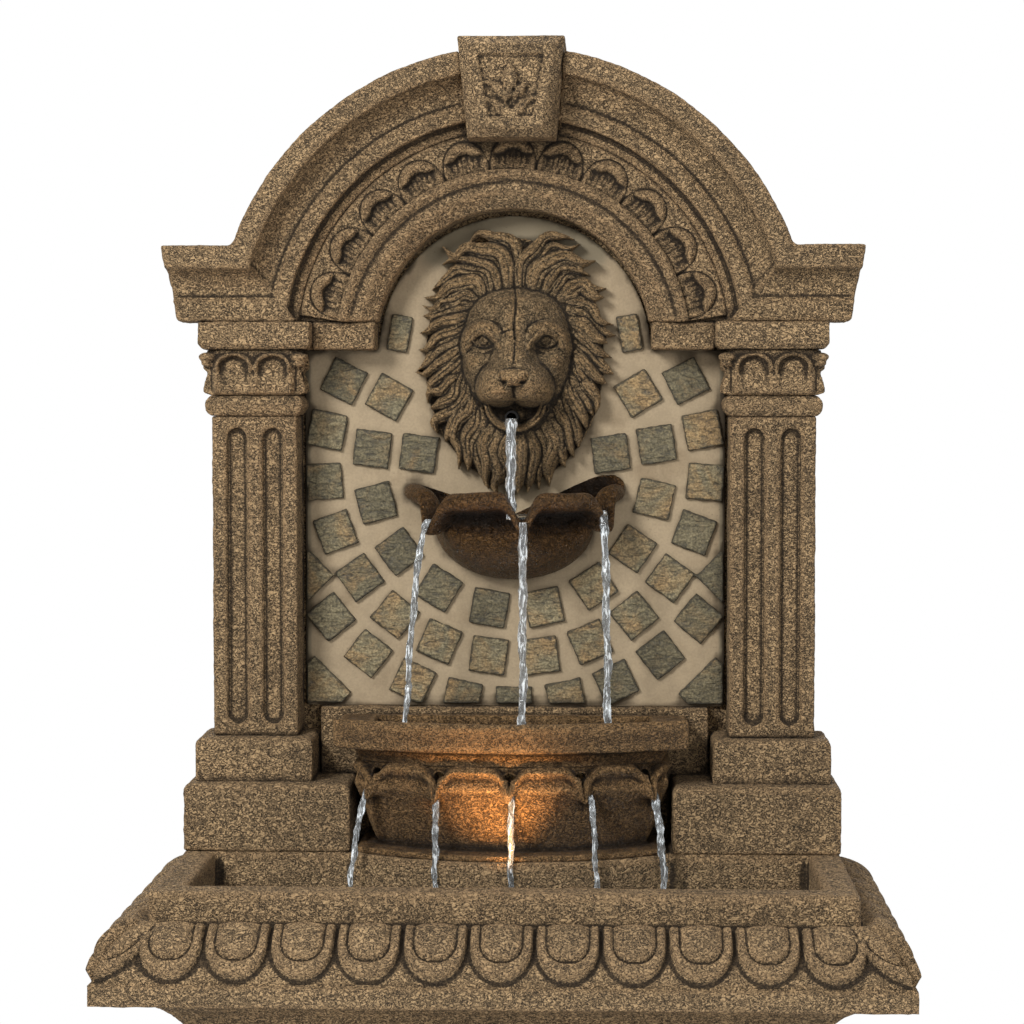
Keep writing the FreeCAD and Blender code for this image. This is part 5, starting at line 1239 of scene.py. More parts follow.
class FOUNTAIN_OT_arch_leaves(bpy.types.Operator):
    """Row of leaves in the arch"""

    bl_idname = "fountain.arch_leaves"
    bl_label = "Arch leaves"

    def execute(self, context):

        def layout(u, v):
            turn = np.radians(90.0 + ROW_SPAN * (0.5 - u))
            radius = ROW_INNER + ROW_WIDTH * v
            return radius * np.cos(turn), radius * np.sin(turn)

        def carve(across, along):
            radius = np.hypot(across, along)
            turn = np.degrees(np.arctan2(along, across)) - 90.0
            nearest = np.clip(np.round(turn / ROW_STEP), -ROW_EACH_SIDE, ROW_EACH_SIDE) * ROW_STEP
            aside = np.radians(turn - nearest) * (ROW_INNER + ROW_WIDTH / 2)
            up = radius - ROW_INNER - 0.5
            height = leaf(aside, up, ROW_LEAF_HALF, ROW_LEAF_TALL, ROW_LEAF_SHOULDER)
            return 0.4 + height * ease(radius, 182.0, 185.0) * ease(radius, 230.0, 226.0)

        shape = relief(upright(0.0, ROW_DEPTH, ARCH_CENTRE), 470, 40, layout, carve, 3.0)
        obj = object_from("stone_arch_leaves", shape)
        finish_stone(context, obj, ["leaf_ornaments"], pit=0.7, marks=FORM_MARKS)
        return {"FINISHED"}


# The keystone in millimetres: where its front begins to narrow, over which depth, and its panel
NARROW_FROM = 66.0
NARROW_DEPTH = 16.0
PANEL_SINK = 4.0
PANEL_LEVEL = 1216.0
PANEL_WIDTH = 66.0
PANEL_HEIGHT = 74.0

# Share of its width that the front loses at its bottom
NARROWING = 0.15

# Middle line, half width and rise of each blade of the sprig
SPRIG_BLADES = (
    (((-6.0, -8.0), (-14.0, 0.0), (-21.0, 5.0), (-27.0, 5.5)), 6.0, 5.0),
    (((4.0, -8.0), (10.0, -2.0), (15.0, 3.0), (19.0, 6.0)), 5.5, 5.0),
    (((-2.0, -4.0), (-5.0, -9.0), (-6.0, -15.0)), 6.0, 6.0),
    (((-2.0, -30.0), (-10.0, -21.0), (-18.0, -15.0), (-26.0, -11.0)), 6.0, 4.2),
    (((2.0, -30.0), (9.0, -20.0), (16.0, -14.0), (25.0, -9.0)), 6.0, 4.2),
    (((0.0, -32.0), (-3.0, -24.0), (-5.0, -17.0)), 6.5, 4.8),
    (((0.0, -32.0), (4.0, -24.0), (6.0, -16.0)), 6.0, 4.8),
)


class FOUNTAIN_OT_keystone(bpy.types.Operator):
    """Keystone with a sprig in its panel"""

    bl_idname = "fountain.keystone"
    bl_label = "Keystone"

    def execute(self, context):
        sizes = context.scene.fountain_sizes
        low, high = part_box("keystone")
        shape = node_copy("keystone")
        bmesh.ops.bisect_plane(shape, geom=everything(shape), plane_co=(0.0, NARROW_FROM * MM, 0.0),
                               plane_no=(0.0, 1.0, 0.0))
        for vert in shape.verts:
            front = min(max((NARROW_FROM * MM - vert.co.y) / (NARROW_DEPTH * MM), 0.0), 1.0)
            vert.co.x *= 1.0 - NARROWING * front * (high.z - vert.co.z) / (high.z - low.z)
        plane = upright(0.0, low.y / MM + PANEL_SINK, PANEL_LEVEL)
        take_in(shape, relief(plane, 60, 66, self.panel_grid, self.sprig, 2.0))
        obj = object_from("stone_keystone", shape)
        soften(obj, sizes.carving_grain)
        finish_stone(context, obj, ["keystone"], wave=0.8, pit=0.6)
        return {"FINISHED"}

    def panel_grid(self, u, v):
        return (u - 0.5) * PANEL_WIDTH, (v - 0.5) * PANEL_HEIGHT

    def sprig(self, across, along):
        """A bud over curved blades; below zero beside them."""
        height = np.full(across.shape, -1.0)
        bud = 6.5 * cap(across, along, -1.0, 10.0, 8.2, 13.0) ** 0.6
        height = np.maximum(height, np.where(bud > 0.0, bud, -1.0))
        for points, width, rise in SPRIG_BLADES:
            gap, side, share = run_along(across, along, points)
            half = width * np.interp(share, (0.0, 0.35, 1.0), (0.6, 1.0, 0.25))
            round_back = np.clip(1.0 - (gap / half) ** 2, 0.0, None)
            blade = rise * np.sqrt(round_back) - 1.2 * np.exp(-(side / 0.8) ** 2)
            height = np.maximum(height, np.where(round_back > 0.0, np.maximum(blade, 0.4), -1.0))
        return height


# The drawing of the mane: millimetres to a unit, its middle, its top and how its crown is stretched
MANE_UNIT = 0.1942
MANE_MIDDLE = 640.0
MANE_TOP = 1088.25
CROWN_FROM = 1010.0
CROWN_STRETCH = 0.13

# Middle line of each lock from root to tip, across and down the drawing
MANE_LOCKS = (
    ((655, 400), (655, 230), (610, 160), (540, 125), (450, 128), (385, 165)),
    ((605, 400), (588, 270), (540, 215), (460, 192), (380, 203), (310, 222), (240, 182)),
    ((560, 410), (512, 300), (450, 260), (380, 243), (300, 252), (238, 262)),
    ((505, 410), (462, 330), (400, 298), (330, 305), (270, 340), (185, 385)),
    ((470, 420), (420, 362), (350, 352), (290, 388), (220, 425), (145, 432)),
    ((430, 440), (370, 415), (310, 432), (250, 465), (200, 484), (130, 482)),
    ((400, 480), (325, 488), (262, 515), (200, 538), (140, 520)),
    ((390, 530), (315, 548), (240, 580), (170, 608), (120, 622)),
    ((380, 580), (305, 608), (235, 655), (165, 700), (112, 722)),
    ((370, 635), (305, 680), (235, 728), (165, 775), (118, 835)),
    ((360, 700), (295, 758), (222, 805), (150, 838), (98, 852)),
    ((360, 765), (305, 828), (235, 862), (190, 900), (172, 965)),
    ((362, 830), (345, 900), (305, 970), (232, 1022), (178, 1040)),
    ((345, 850), (290, 905), (235, 930), (182, 962), (160, 1012)),
    ((385, 1000), (340, 1090), (292, 1150), (270, 1225)),
    ((395, 880), (385, 965), (330, 1045), (255, 1085), (195, 1105), (235, 1180)),
    ((415, 950), (392, 1045), (342, 1115), (310, 1195), (338, 1272), (345, 1380)),
    ((440, 1020), (428, 1115), (398, 1205), (380, 1292), (392, 1385)),
    ((480, 1080), (468, 1165), (440, 1262), (450, 1370), (492, 1470)),
    ((520, 1140), (482, 1230), (500, 1330), (478, 1410), (510, 1480)),
    ((566, 1175), (534, 1280), (556, 1390), (530, 1460), (556, 1510)),
    ((618, 1180), (600, 1290), (622, 1400), (604, 1512)),
    ((676, 1180), (684, 1300), (660, 1400), (672, 1512)),
    ((728, 1180), (746, 1280), (720, 1390), (728, 1505)),
    ((778, 1170), (806, 1270), (776, 1390), (786, 1490)),
    ((822, 1140), (866, 1240), (838, 1350), (834, 1465)),
    ((680, 400), (698, 265), (745, 192), (822, 142), (900, 128), (972, 145)),
    ((715, 400), (735, 295), (785, 232), (855, 192), (930, 184), (1010, 172)),
    ((745, 410), (768, 308), (835, 260), (920, 242), (1010, 250), (1085, 262)),
    ((805, 410), (845, 330), (905, 290), (980, 294), (1065, 318)),
    ((855, 415), (890, 362), (945, 336), (1012, 354), (1080, 386), (1155, 390)),
    ((905, 430), (955, 385), (1015, 382), (1080, 410), (1135, 438)),
    ((935, 450), (1002, 450), (1062, 488), (1115, 548), (1185, 592)),
    ((950, 500), (1012, 530), (1072, 578), (1132, 618), (1195, 648)),
    ((962, 560), (1015, 598), (1082, 636), (1155, 682)),
    ((975, 620), (1032, 672), (1102, 712), (1175, 770)),
    ((985, 690), (1042, 738), (1105, 785), (1178, 860)),
    ((980, 740), (1035, 805), (1092, 860), (1150, 915)),
    ((975, 785), (1022, 850), (1062, 930), (1118, 985)),
    ((955, 840), (992, 920), (1022, 1000), (1078, 1070)),
    ((1000, 860), (1052, 930), (1082, 1000), (1102, 1065)),
    ((935, 895), (960, 980), (1000, 1062), (1048, 1140)),
    ((905, 960), (932, 1065), (975, 1160), (1005, 1255)),
    ((875, 1040), (912, 1135), (952, 1225), (968, 1315)),
    ((850, 1090), (885, 1190), (908, 1278), (912, 1365)),
)

# How far a lock sways, and its width along it as shares of its full one
LOCK_SWAY = 2.6
LOCK_SHARES = (0.0, 0.2, 0.5, 0.8, 1.0)
LOCK_WIDTHS = (0.55, 1.0, 0.95, 0.62, 0.1)


def mane_point(point):
    """A point of the mane's drawing in millimetres on the panel."""
    level = MANE_TOP - point[1] * MANE_UNIT
    return (point[0] - MANE_MIDDLE) * MANE_UNIT, level + CROWN_STRETCH * max(level - CROWN_FROM, 0.0)


def wavy(drawn, index):
    """The points of a lock in millimetres, bent to and fro."""
    points = [mane_point(point) for point in drawn]
    bent = [points[0]]
    for step in range(1, len(points)):
        run = (points[step][0] - points[step - 1][0], points[step][1] - points[step - 1][1])
        length = math.hypot(run[0], run[1])
        sway = LOCK_SWAY * math.sin(step * 2.6 + index * 0.7)
        bent.append((points[step][0] - run[1] / length * sway, points[step][1] + run[0] / length * sway))
    return bent


def mane_heights(across, along):
    """Locks of the mane over a domed ground; below zero where there is none."""
    inside = np.clip(1.0 - (across / 98.0) ** 2 - ((along - 937.0) / 134.0) ** 2, 0.0, None)
    ground = 4.0 + 38.0 * inside ** 1.2
    beard = 46.0 * np.clip(1.0 - (across / 60.0) ** 2 - ((along - 862.0) / 62.0) ** 2, 0.0, None) ** 0.9
    ground = blend_high(ground, beard, 4.0)
    height = np.where(inside > 0.03, ground, -1.0)
    for index, drawn in enumerate(MANE_LOCKS):
        points = wavy(drawn, index)
        gap, side, share = run_along(across, along, points)
        width = 9.0 + 2.2 * math.sin(index * 2.3)
        half = width * np.interp(share, LOCK_SHARES, LOCK_WIDTHS)
        place = side / half
        turn = np.clip(gap / half, 0.0, 1.0)
        back = (1.0 - turn ** 2) ** 0.42
        lean = 3.4 * place * (1.0 if points[-1][0] < 0.0 else -1.0)
        lines = np.exp(-((place + 0.42 + 0.1 * math.sin(index)) / 0.13) ** 2)
        lines = lines + np.exp(-((place - 0.3 - 0.12 * math.cos(index * 1.3)) / 0.13) ** 2)
        lift = 8.0 + 6.0 * (index * 2 % 3) / 2.0 + 7.0 * ease(share, 0.3, 0.85)
        lock = (lift + lean) * ease(share, -0.15, 0.3) - 2.0 * lines * ease(share, 0.0, 0.15)
        lock = np.maximum(ground, 5.0) + lock * back
        height = np.where(gap < half, np.maximum(height, lock), height)
    return height


# The face in millimetres: its outline and, for the half at the right, its lines from end to end
FACE_SHIFT = 2.0
FACE_MIDDLE = 948.0
FACE_HALF = 61.0
FACE_TALL = 70.0
BROW = ((58.0, 951.0), (51.0, 963.0), (37.0, 972.0), (23.0, 968.0), (14.0, 957.0))
EYE = (32.5, 958.5)
UPPER_LID = ((49.5, 951.0), (42.0, 963.0), (32.5, 967.5), (24.0, 963.5), (15.5, 951.0))
LOWER_LID = ((47.0, 953.5), (40.0, 949.0), (31.0, 948.0), (20.0, 952.5))
NOSTRIL = ((8.6, 914.5), (12.6, 916.5), (13.2, 921.0))
LIP_LINE = ((0.0, 911.0), (0.0, 902.0), (0.0, 888.0))

# Depth, half width and points of the lines on the forehead
FOREHEAD_LINES = (
    (4.0, 1.9, ((-1.0, 1016.0), (1.5, 996.0), (0.0, 974.0), (1.0, 960.0))),
    (2.0, 1.8, ((-13.0, 966.0), (-4.0, 969.0), (2.0, 968.0))),
    (2.2, 1.8, ((1.0, 960.0), (1.0, 948.0), (0.0, 935.0))),
)

# Level and value of forms that change up the face
BRIDGE_WIDTH = ((905.0, 29.0), (925.0, 24.0), (945.0, 17.5), (968.0, 15.0), (985.0, 19.0), (1000.0, 24.0))
BRIDGE_CREST = ((878.0, 10.0), (890.0, 46.0), (898.0, 66.0), (905.0, 79.0), (914.0, 89.0), (925.0, 93.0),
                (945.0, 86.0), (968.0, 76.0), (985.0, 68.0), (1003.0, 50.0), (1016.0, 24.0))
NOSE_BREADTH = ((910.0, 14.0), (928.0, 17.5))
LIP_RISE = ((860.0, 72.0), (868.0, 65.0), (880.0, 50.0), (893.0, 40.0))
MUZZLE_LEVEL = 907.0
NOSE_LEVEL = 919.5
MOUTH_LEVEL = 895.0


def profile(along, pairs):
    """The value at each level between pairs of a level and a value."""
    levels, values = zip(*pairs)
    return np.interp(along, levels, values)


def mirrored(points, side):
    return [(x * side, z) for x, z in points]


def skull_form(across, along, skull):
    """Domed skull with its brows, cheeks and eye hollows."""
    face = 8.0 + 59.0 * skull
    for side in (-1, 1):
        face += 4.0 * swell(across, along, 20.0 * side, 992.0, 15.0, 15.0)
        face += 5.0 * swell(across, along, 46.0 * side, 934.0, 12.0, 15.0)
        face -= 15.0 * swell(across, along, 31.0 * side, 954.0, 15.0, 11.0)
        face += 9.0 * ridge(across, along, mirrored(BROW, side), 8.8)
    return face


def muzzle_form(across, along):
    """The two lobes of the muzzle; zero outside them."""
    muzzle = np.zeros_like(across)
    tall = np.where(along > MUZZLE_LEVEL, 29.0, 20.0)
    for side in (-1, 1):
        flat = ((across - 16.5 * side) / 25.0) ** 2 + ((along - MUZZLE_LEVEL) / tall) ** 2
        lobe = np.clip(1.0 - flat, 0.0, None) ** 0.62
        muzzle = blend_high(muzzle, np.where(lobe > 0.0, 34.0 + 58.0 * lobe, 0.0), 6.0)
    return muzzle


def with_eyes(face, across, along):
    """The face with eyeballs, lids and the rings of the irises."""
    for side in (-1, 1):
        x, z = EYE[0] * side, EYE[1]
        face += 8.0 * cap(across, along, x, z, 12.5, 7.8)
        face += 4.0 * ridge(across, along, mirrored(UPPER_LID, side), 3.2)
        face += 2.0 * ridge(across, along, mirrored(LOWER_LID, side), 2.8)
        ring = np.abs(np.hypot(across - x, along - z) - 5.2)
        face -= 0.9 * np.clip(1.0 - (ring / 1.3) ** 2, 0.0, None)
    return face


def with_nose(face, across, along):
    """The face with the pad of the nose, its nostrils and the line below it."""
    breadth = profile(along, NOSE_BREADTH)
    pad = 1.0 - (np.abs(across) / breadth) ** 2.8 - (np.abs(along - NOSE_LEVEL) / 9.0) ** 2.8
    pad = np.clip(pad, 0.0, None)
    face = np.where(pad > 0.0, np.maximum(face, 90.0 + 12.0 * pad ** 0.4), face)
    for side in (-1, 1):
        x, z = NOSTRIL[0]
        face -= 8.0 * swell(across, along, x * side, z, 3.4, 2.6)
        face -= 3.2 * ridge(across, along, mirrored(NOSTRIL, side), 1.8)
    return face - 2.4 * ridge(across, along, LIP_LINE, 2.6)


def mouth_form(across, along):
    """The open mouth with its lower lip, and where the jaw is."""
    below = np.minimum(along - MOUTH_LEVEL, 0.0)
    jaw = np.hypot(across / 33.5, below / 33.0)
    mouth = np.hypot(across / 29.0, below / 28.0)
    rim = profile(along, LIP_RISE) - 20.0 * (np.clip((mouth - 1.0) / 0.17, 0.0, 1.0) - 0.45) ** 2
    opening = np.where(mouth < 1.0, 42.0 + 18.0 * ease(mouth, 0.84, 1.0), rim)
    return opening, (jaw < 1.0) & (along < MOUTH_LEVEL)


def face_heights(across, along):
    """The lion's face without its mane; below zero outside it."""
    outline = (np.abs(across) / FACE_HALF) ** 2.4 + (np.abs(along - FACE_MIDDLE) / FACE_TALL) ** 2.4
    skull = np.clip(1.0 - outline, 0.0, None) ** 0.6
    bridge = profile(along, BRIDGE_CREST) - 15.0 * (np.abs(across) / profile(along, BRIDGE_WIDTH)) ** 2.4
    muzzle = muzzle_form(across, along)
    face = blend_high(skull_form(across, along, skull), bridge, 5.0)
    face = with_eyes(blend_high(face, muzzle, 15.0), across, along)
    for depth, width, points in FOREHEAD_LINES:
        face -= depth * ridge(across, along, points, width)
    face = with_nose(face, across, along)
    opening, jaw = mouth_form(across, along)
    face = np.where(jaw, np.maximum(opening, muzzle), face)
    return np.where((skull > 0.0) | jaw, face, -1.0)


# The carved sheet of the lion in millimetres
LION_WIDTH = 222.0
LION_BOTTOM = 790.0
LION_HEIGHT = 292.0


class FOUNTAIN_OT_lion(bpy.types.Operator):
    """Lion mask with its mane"""

    bl_idname = "fountain.lion"
    bl_label = "Lion mask"

    def execute(self, context):

        def layout(u, v):
            return (u - 0.5) * LION_WIDTH, LION_BOTTOM + LION_HEIGHT * v

        def carve(across, along):
            mane = mane_heights(across, along)
            face = face_heights(across - FACE_SHIFT, along)
            mouth = np.hypot((across - FACE_SHIFT) / 36.0, (along - 880.0) / 20.0) < 1.0
            return np.where(mouth & (face > 0.0), face, np.maximum(mane, face))

        shape = relief(upright(0.0, WALL_FACE, 0.0), 216, 284, layout, carve, 0.5)
        smooth_points(shape, shape.verts, 0.25)
        obj = object_from("stone_lion", shape)
        finish_stone(context, obj, ["lion_mask"], "carved", pit=0.7, marks=DEEP_MARKS)
        return {"FINISHED"}


# Radius and height of the upper bowl, up its outside, over its rim and down its inside
UPPER_OUTLINE = (
    (0.0, 0.0), (22.0, 1.5), (44.0, 7.0), (62.0, 17.0), (75.0, 29.0), (82.0, 41.0), (84.5, 50.0),
    (84.5, 57.0), (84.5, 65.0), (89.0, 73.0), (99.0, 77.0), (110.0, 79.0), (117.0, 83.0),
    (119.0, 89.0), (117.0, 95.0), (111.0, 98.0), (104.0, 98.0), (97.0, 94.0), (92.0, 86.0),
    (86.0, 77.0), (74.0, 69.0), (56.0, 63.0), (30.0, 60.0), (0.0, 59.0),
)

# Degrees to each notch, and half the degrees that a notch and its fold take
UPPER_NOTCHES = (43.0, 96.0, 148.0)
NOTCH_TURN = 6.2
FOLD_TURN = 9.5

# Depth of a notch in millimetres, and the reach and level of the keel below it
NOTCH_DEPTH = 30.0
KEEL_REACH = 13.0
KEEL_LEVEL = 58.0


class FOUNTAIN_OT_upper_bowl(bpy.types.Operator):
    """Upper bowl with two front lobes, two ears and three pouring notches"""

    bl_idname = "fountain.upper_bowl"
    bl_label = "Upper bowl"

    def execute(self, context):
        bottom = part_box("upper_bowl")[0].z / MM
        wall = WALL_FACE * MM
        shape = bmesh.new()
        verts = []
        for radius, level in UPPER_OUTLINE:
            verts.append(shape.verts.new((-radius * MM, wall, (bottom + level) * MM)))
        edges = [shape.edges.new(pair) for pair in zip(verts, verts[1:])]
        bmesh.ops.spin(shape, geom=verts + edges, cent=(0.0, wall, 0.0), axis=(0.0, 0.0, 1.0),
                       angle=math.pi, steps=120)
        bmesh.ops.remove_doubles(shape, verts=shape.verts, dist=MERGE_GAP)
        border = [edge for edge in shape.edges if edge.is_boundary]
        bmesh.ops.holes_fill(shape, edges=border, sides=0)
        bmesh.ops.recalc_face_normals(shape, faces=shape.faces)
        for vert in shape.verts:
            self.bend(vert, bottom, wall)
        obj = object_from("stone_upper_bowl", shape)
        round_off(obj, 2)
        finish_stone(context, obj, ["upper_bowl"], "wet", wave=1.0, pit=0.7, marks=DEEP_MARKS)
        return {"FINISHED"}

    def bend(self, vert, bottom, wall):
        """Lets the rim down at the notches, draws the keels out below them and lifts the ears."""
        radius = math.hypot(vert.co.x, vert.co.y - wall)
        if radius < MM:
            return
        turn = math.degrees(math.atan2(wall - vert.co.y, -vert.co.x))
        level = vert.co.z / MM - bottom
        rim = float(ease(np.float64(level), KEEL_LEVEL, 84.0))
        keel = math.exp(-((level - KEEL_LEVEL) / 20.0) ** 2)
        keel *= float(ease(np.float64(radius / MM), 55.0, 80.0))
        notch = max(math.exp(-((turn - spot) / NOTCH_TURN) ** 2) for spot in UPPER_NOTCHES)
        fold = max(math.exp(-((turn - spot) / FOLD_TURN) ** 2) for spot in UPPER_NOTCHES)
        edge = max(0.0, 1.0 - min(turn, 180.0 - turn) / 40.0)
        lift = 5.0 * edge + 1.6 * math.sin(math.radians(turn * 5.0)) - NOTCH_DEPTH * notch
        push = rim * (4.0 * notch - 3.0 * fold * (1.0 - notch)) + keel * KEEL_REACH * fold
        longer = 1.0 + push * MM / radius
        vert.co.x *= longer
        vert.co.y = wall + (vert.co.y - wall) * longer
        vert.co.y = min(vert.co.y, wall)
        vert.co.z += rim * lift * MM


# Places of the spouts, as shares of the lower bowl's half width
SPOUT_SHARES = (-0.88, -0.46, 0.0, 0.46, 0.88)

# The lower bowl in millimetres: its voxels, its shelf, its ledge and its swagged edge
SHELF_GRAIN = 1.9
SPOUT_GRAIN = 1.7
SHELF_CELL = 4.0
SHELF_REACH = 190.0
LEDGE_REACH = 54.0
LEDGE_SIDE = 45.0
LEDGE_BACK = 131.5
LEDGE_LEVEL = 425.2
LEDGE_THICKNESS = 6.0
LEDGE_STEPS = 40
SWAG_LOW = 492.0
SWAG_RISE = 23.0
SWAG_HALF = 20.0
BELLY_FOOT = 430.0


class FOUNTAIN_OT_lower_bowl(bpy.types.Operator):
    """Lower bowl with its five spouts, and the shelf rim"""

    bl_idname = "fountain.lower_bowl"
    bl_label = "Lower bowl"

    def execute(self, context):
        rim = object_from("stone_shelf_rim", node_copy("shelf_rim"))
        soften(rim, SHELF_GRAIN * MM, 8)
        settle(rim)
        points = mesh_points(rim.data)
        points[:, 2] += self.rolled_edge(points) * MM
        set_points(rim.data, points)
        finish_stone(context, rim, ["shelf_rim"], "damp", wave=1.2, pit=1.0, marks=DEEP_MARKS)
        shape = node_copy("spout_bowl")
        take_in(shape, self.ledge())
        obj = object_from("stone_spout_bowl", shape)
        soften(obj, SPOUT_GRAIN * MM)
        settle(obj)
        points = mesh_points(obj.data)
        normals = point_normals(obj.data)
        set_points(obj.data, points + normals * (self.swags(points, normals) * MM)[:, None])
        finish_stone(context, obj, ["spout_bowl"], "damp", wave=0.9, pit=0.7, marks=DEEP_MARKS)
        return {"FINISHED"}

    def rolled_edge(self, points):
        """How far the front edge of the shelf swells up and down, in millimetres."""
        x = points[:, 0] / MM
        last = int(2.0 * SHELF_REACH / SHELF_CELL)
        cells = np.clip(((x + SHELF_REACH) / SHELF_CELL).astype(int), 0, last)
        front = np.full(last + 1, np.inf)
        np.minimum.at(front, cells, points[:, 1] / MM)
        behind = points[:, 1] / MM - front[cells]
        near = np.exp(-((behind - 5.0) / 11.0) ** 2)
        return near * np.interp(points[:, 2] / MM, (520.0, 530.0, 548.0, 559.0), (0.0, 0.0, 2.0, 8.0))

    def ledge(self):
        """Flat foot of the bowl that closes the half-round wall under it."""
        half = LOWER_BOWL_HALF
        radius = (half * half + LEDGE_REACH * LEDGE_REACH) / (2.0 * LEDGE_REACH)
        spread = math.asin(half / radius)
        shape = bmesh.new()
        outline = []
        for step in range(LEDGE_STEPS + 1):
            turn = spread * (2.0 * step / LEDGE_STEPS - 1.0)
            y = LEDGE_SIDE - LEDGE_REACH + radius * (1.0 - math.cos(turn))
            outline.append((radius * math.sin(turn), y))
        outline.append((half, LEDGE_BACK))
        outline.append((-half, LEDGE_BACK))
        verts = [shape.verts.new((x * MM, y * MM, LEDGE_LEVEL * MM)) for x, y in outline]
        plate = shape.faces.new(verts)
        grown = bmesh.ops.extrude_face_region(shape, geom=[plate])["geom"]
        raised = only(grown, bmesh.types.BMVert)
        bmesh.ops.translate(shape, verts=raised, vec=(0.0, 0.0, LEDGE_THICKNESS * MM))
        bmesh.ops.recalc_face_normals(shape, faces=shape.faces)
        return shape

    def swags(self, points, normals):
        """Swagged edge between the spouts, pouring lips at the spouts and a fuller belly."""
        x = points[:, 0] / MM
        z = points[:, 2] / MM
        outward = normals[:, 0] * x / LOWER_BOWL_HALF - normals[:, 1]
        front = ease(outward, 0.2, 0.6) * ease(z, 426.0, 436.0)
        spots = np.array(SPOUT_SHARES) * LOWER_BOWL_HALF
        nearest = np.min(np.abs(x[:, None] - spots[None, :]), axis=1)
        away = np.clip(nearest / SWAG_HALF, 0.0, 1.0)
        edge = SWAG_LOW + SWAG_RISE * np.sin(away * math.pi / 2.0) ** 0.8
        roll = 7.5 * np.exp(-((z - edge) / 5.0) ** 2)
        above = -3.0 * ease(z, edge + 3.0, edge + 9.0)
        lip = 11.0 * np.exp(-(nearest / 8.5) ** 2 - ((z - 494.0) / 6.5) ** 2)
        belly = 5.0 * np.sin(np.clip((z - BELLY_FOOT) / (edge - BELLY_FOOT), 0.0, 1.0) * math.pi)
        return front * (roll + above + lip + belly)


# Voxel sizes of the mosaic in millimetres
GROUT_GRAIN = 2.6
TILE_GRAIN = 1.5


class FOUNTAIN_OT_mosaic(bpy.types.Operator):
    """Slate tiles and their grout bed"""

    bl_idname = "fountain.mosaic"
    bl_label = "Mosaic"

    def execute(self, context):
        self.bed(context)
        self.tiles(context)
        return {"FINISHED"}

    def bed(self, context):
        """Grout with a grey tint: a washed grey above the lion, and painted shade at its sides beside the
        columns and under the arch.
        """
        obj = object_from("grout_bed", node_copy("tile_panel"))
        soften(obj, GROUT_GRAIN * MM)
        displace(obj, "slow unevenness", 0.9)
        settle(obj)
        points = mesh_points(obj.data) / MM
        aside = np.abs(points[:, 0])
        level = points[:, 2]
        wash = ease(level, 1020.0, 1052.0) * ease(aside, 118.0, 84.0)
        # Painted shade: a dark strip in the gap beside each column, and a band where the arch's inner edge
        # stands over the bed
        sides = ease(aside, 217.0, 222.0) * ease(level, 945.0, 930.0)
        under = ease(np.hypot(aside, level - ARCH_CENTRE), 138.0, 145.0) * ease(level, ARCH_CENTRE, 960.0)
        store(obj.data, "wash", np.maximum(wash, np.maximum(sides, under * 0.6)))
        hand_in(obj, STONE_BODY, "grout", grout_material(context), "tile_panel")

    def tiles(self, context):
        """Riven tiles, each with a number of its own for its tone."""
        shape = node_copy("mosaic_tiles")
        middles = self.islands(shape)
        bmesh.ops.triangulate(shape, faces=shape.faces)
        obj = object_from("slate_tiles", shape)
        soften(obj, TILE_GRAIN * MM)
        displace(obj, "riven face", 2.2)
        displace(obj, "close roughness", 0.9)
        settle(obj)
        points = mesh_points(obj.data)
        gaps = ((points[:, None, ::2] - middles[None, :, ::2]) ** 2).sum(2)
        owner = np.argmin(gaps, axis=1)
        store(obj.data, "tile", np.modf(np.abs(np.sin(owner * 12.9898 + 3.1)) * 437.585)[0])
        mark_wear_and_crease_shade(obj)
        hand_in(obj, STONE_BODY, "slate", slate_material(context), "mosaic_tiles")

    def islands(self, shape):
        """The middle of every separate tile, in the order of the mesh."""
        middles = []
        seen = set()
        for first in shape.verts:
            if first in seen:
                continue
            seen.add(first)
            group = [first]
            for vert in group:
                for edge in vert.link_edges:
                    other = edge.other_vert(vert)
                    if other not in seen:
                        seen.add(other)
                        group.append(other)
            middles.append(sum((vert.co for vert in group), Vector()) / len(group))
        return np.array(middles)


# The water in millimetres: its levels above the basin's, its sheets and its streams
SHELF_WATER = 545.0
BOWL_WATER = 773.0
SHEET_WIDTH = 630.0
SHEET_FRONT = -140.0
SHEET_DEPTH = 300.0
SHEET_THICKNESS = 2.0
STREAM_STEP = 5.0
STREAM_SWAY = 1.3

# Share by which a stream swells and thins
STREAM_SWELL = 0.16


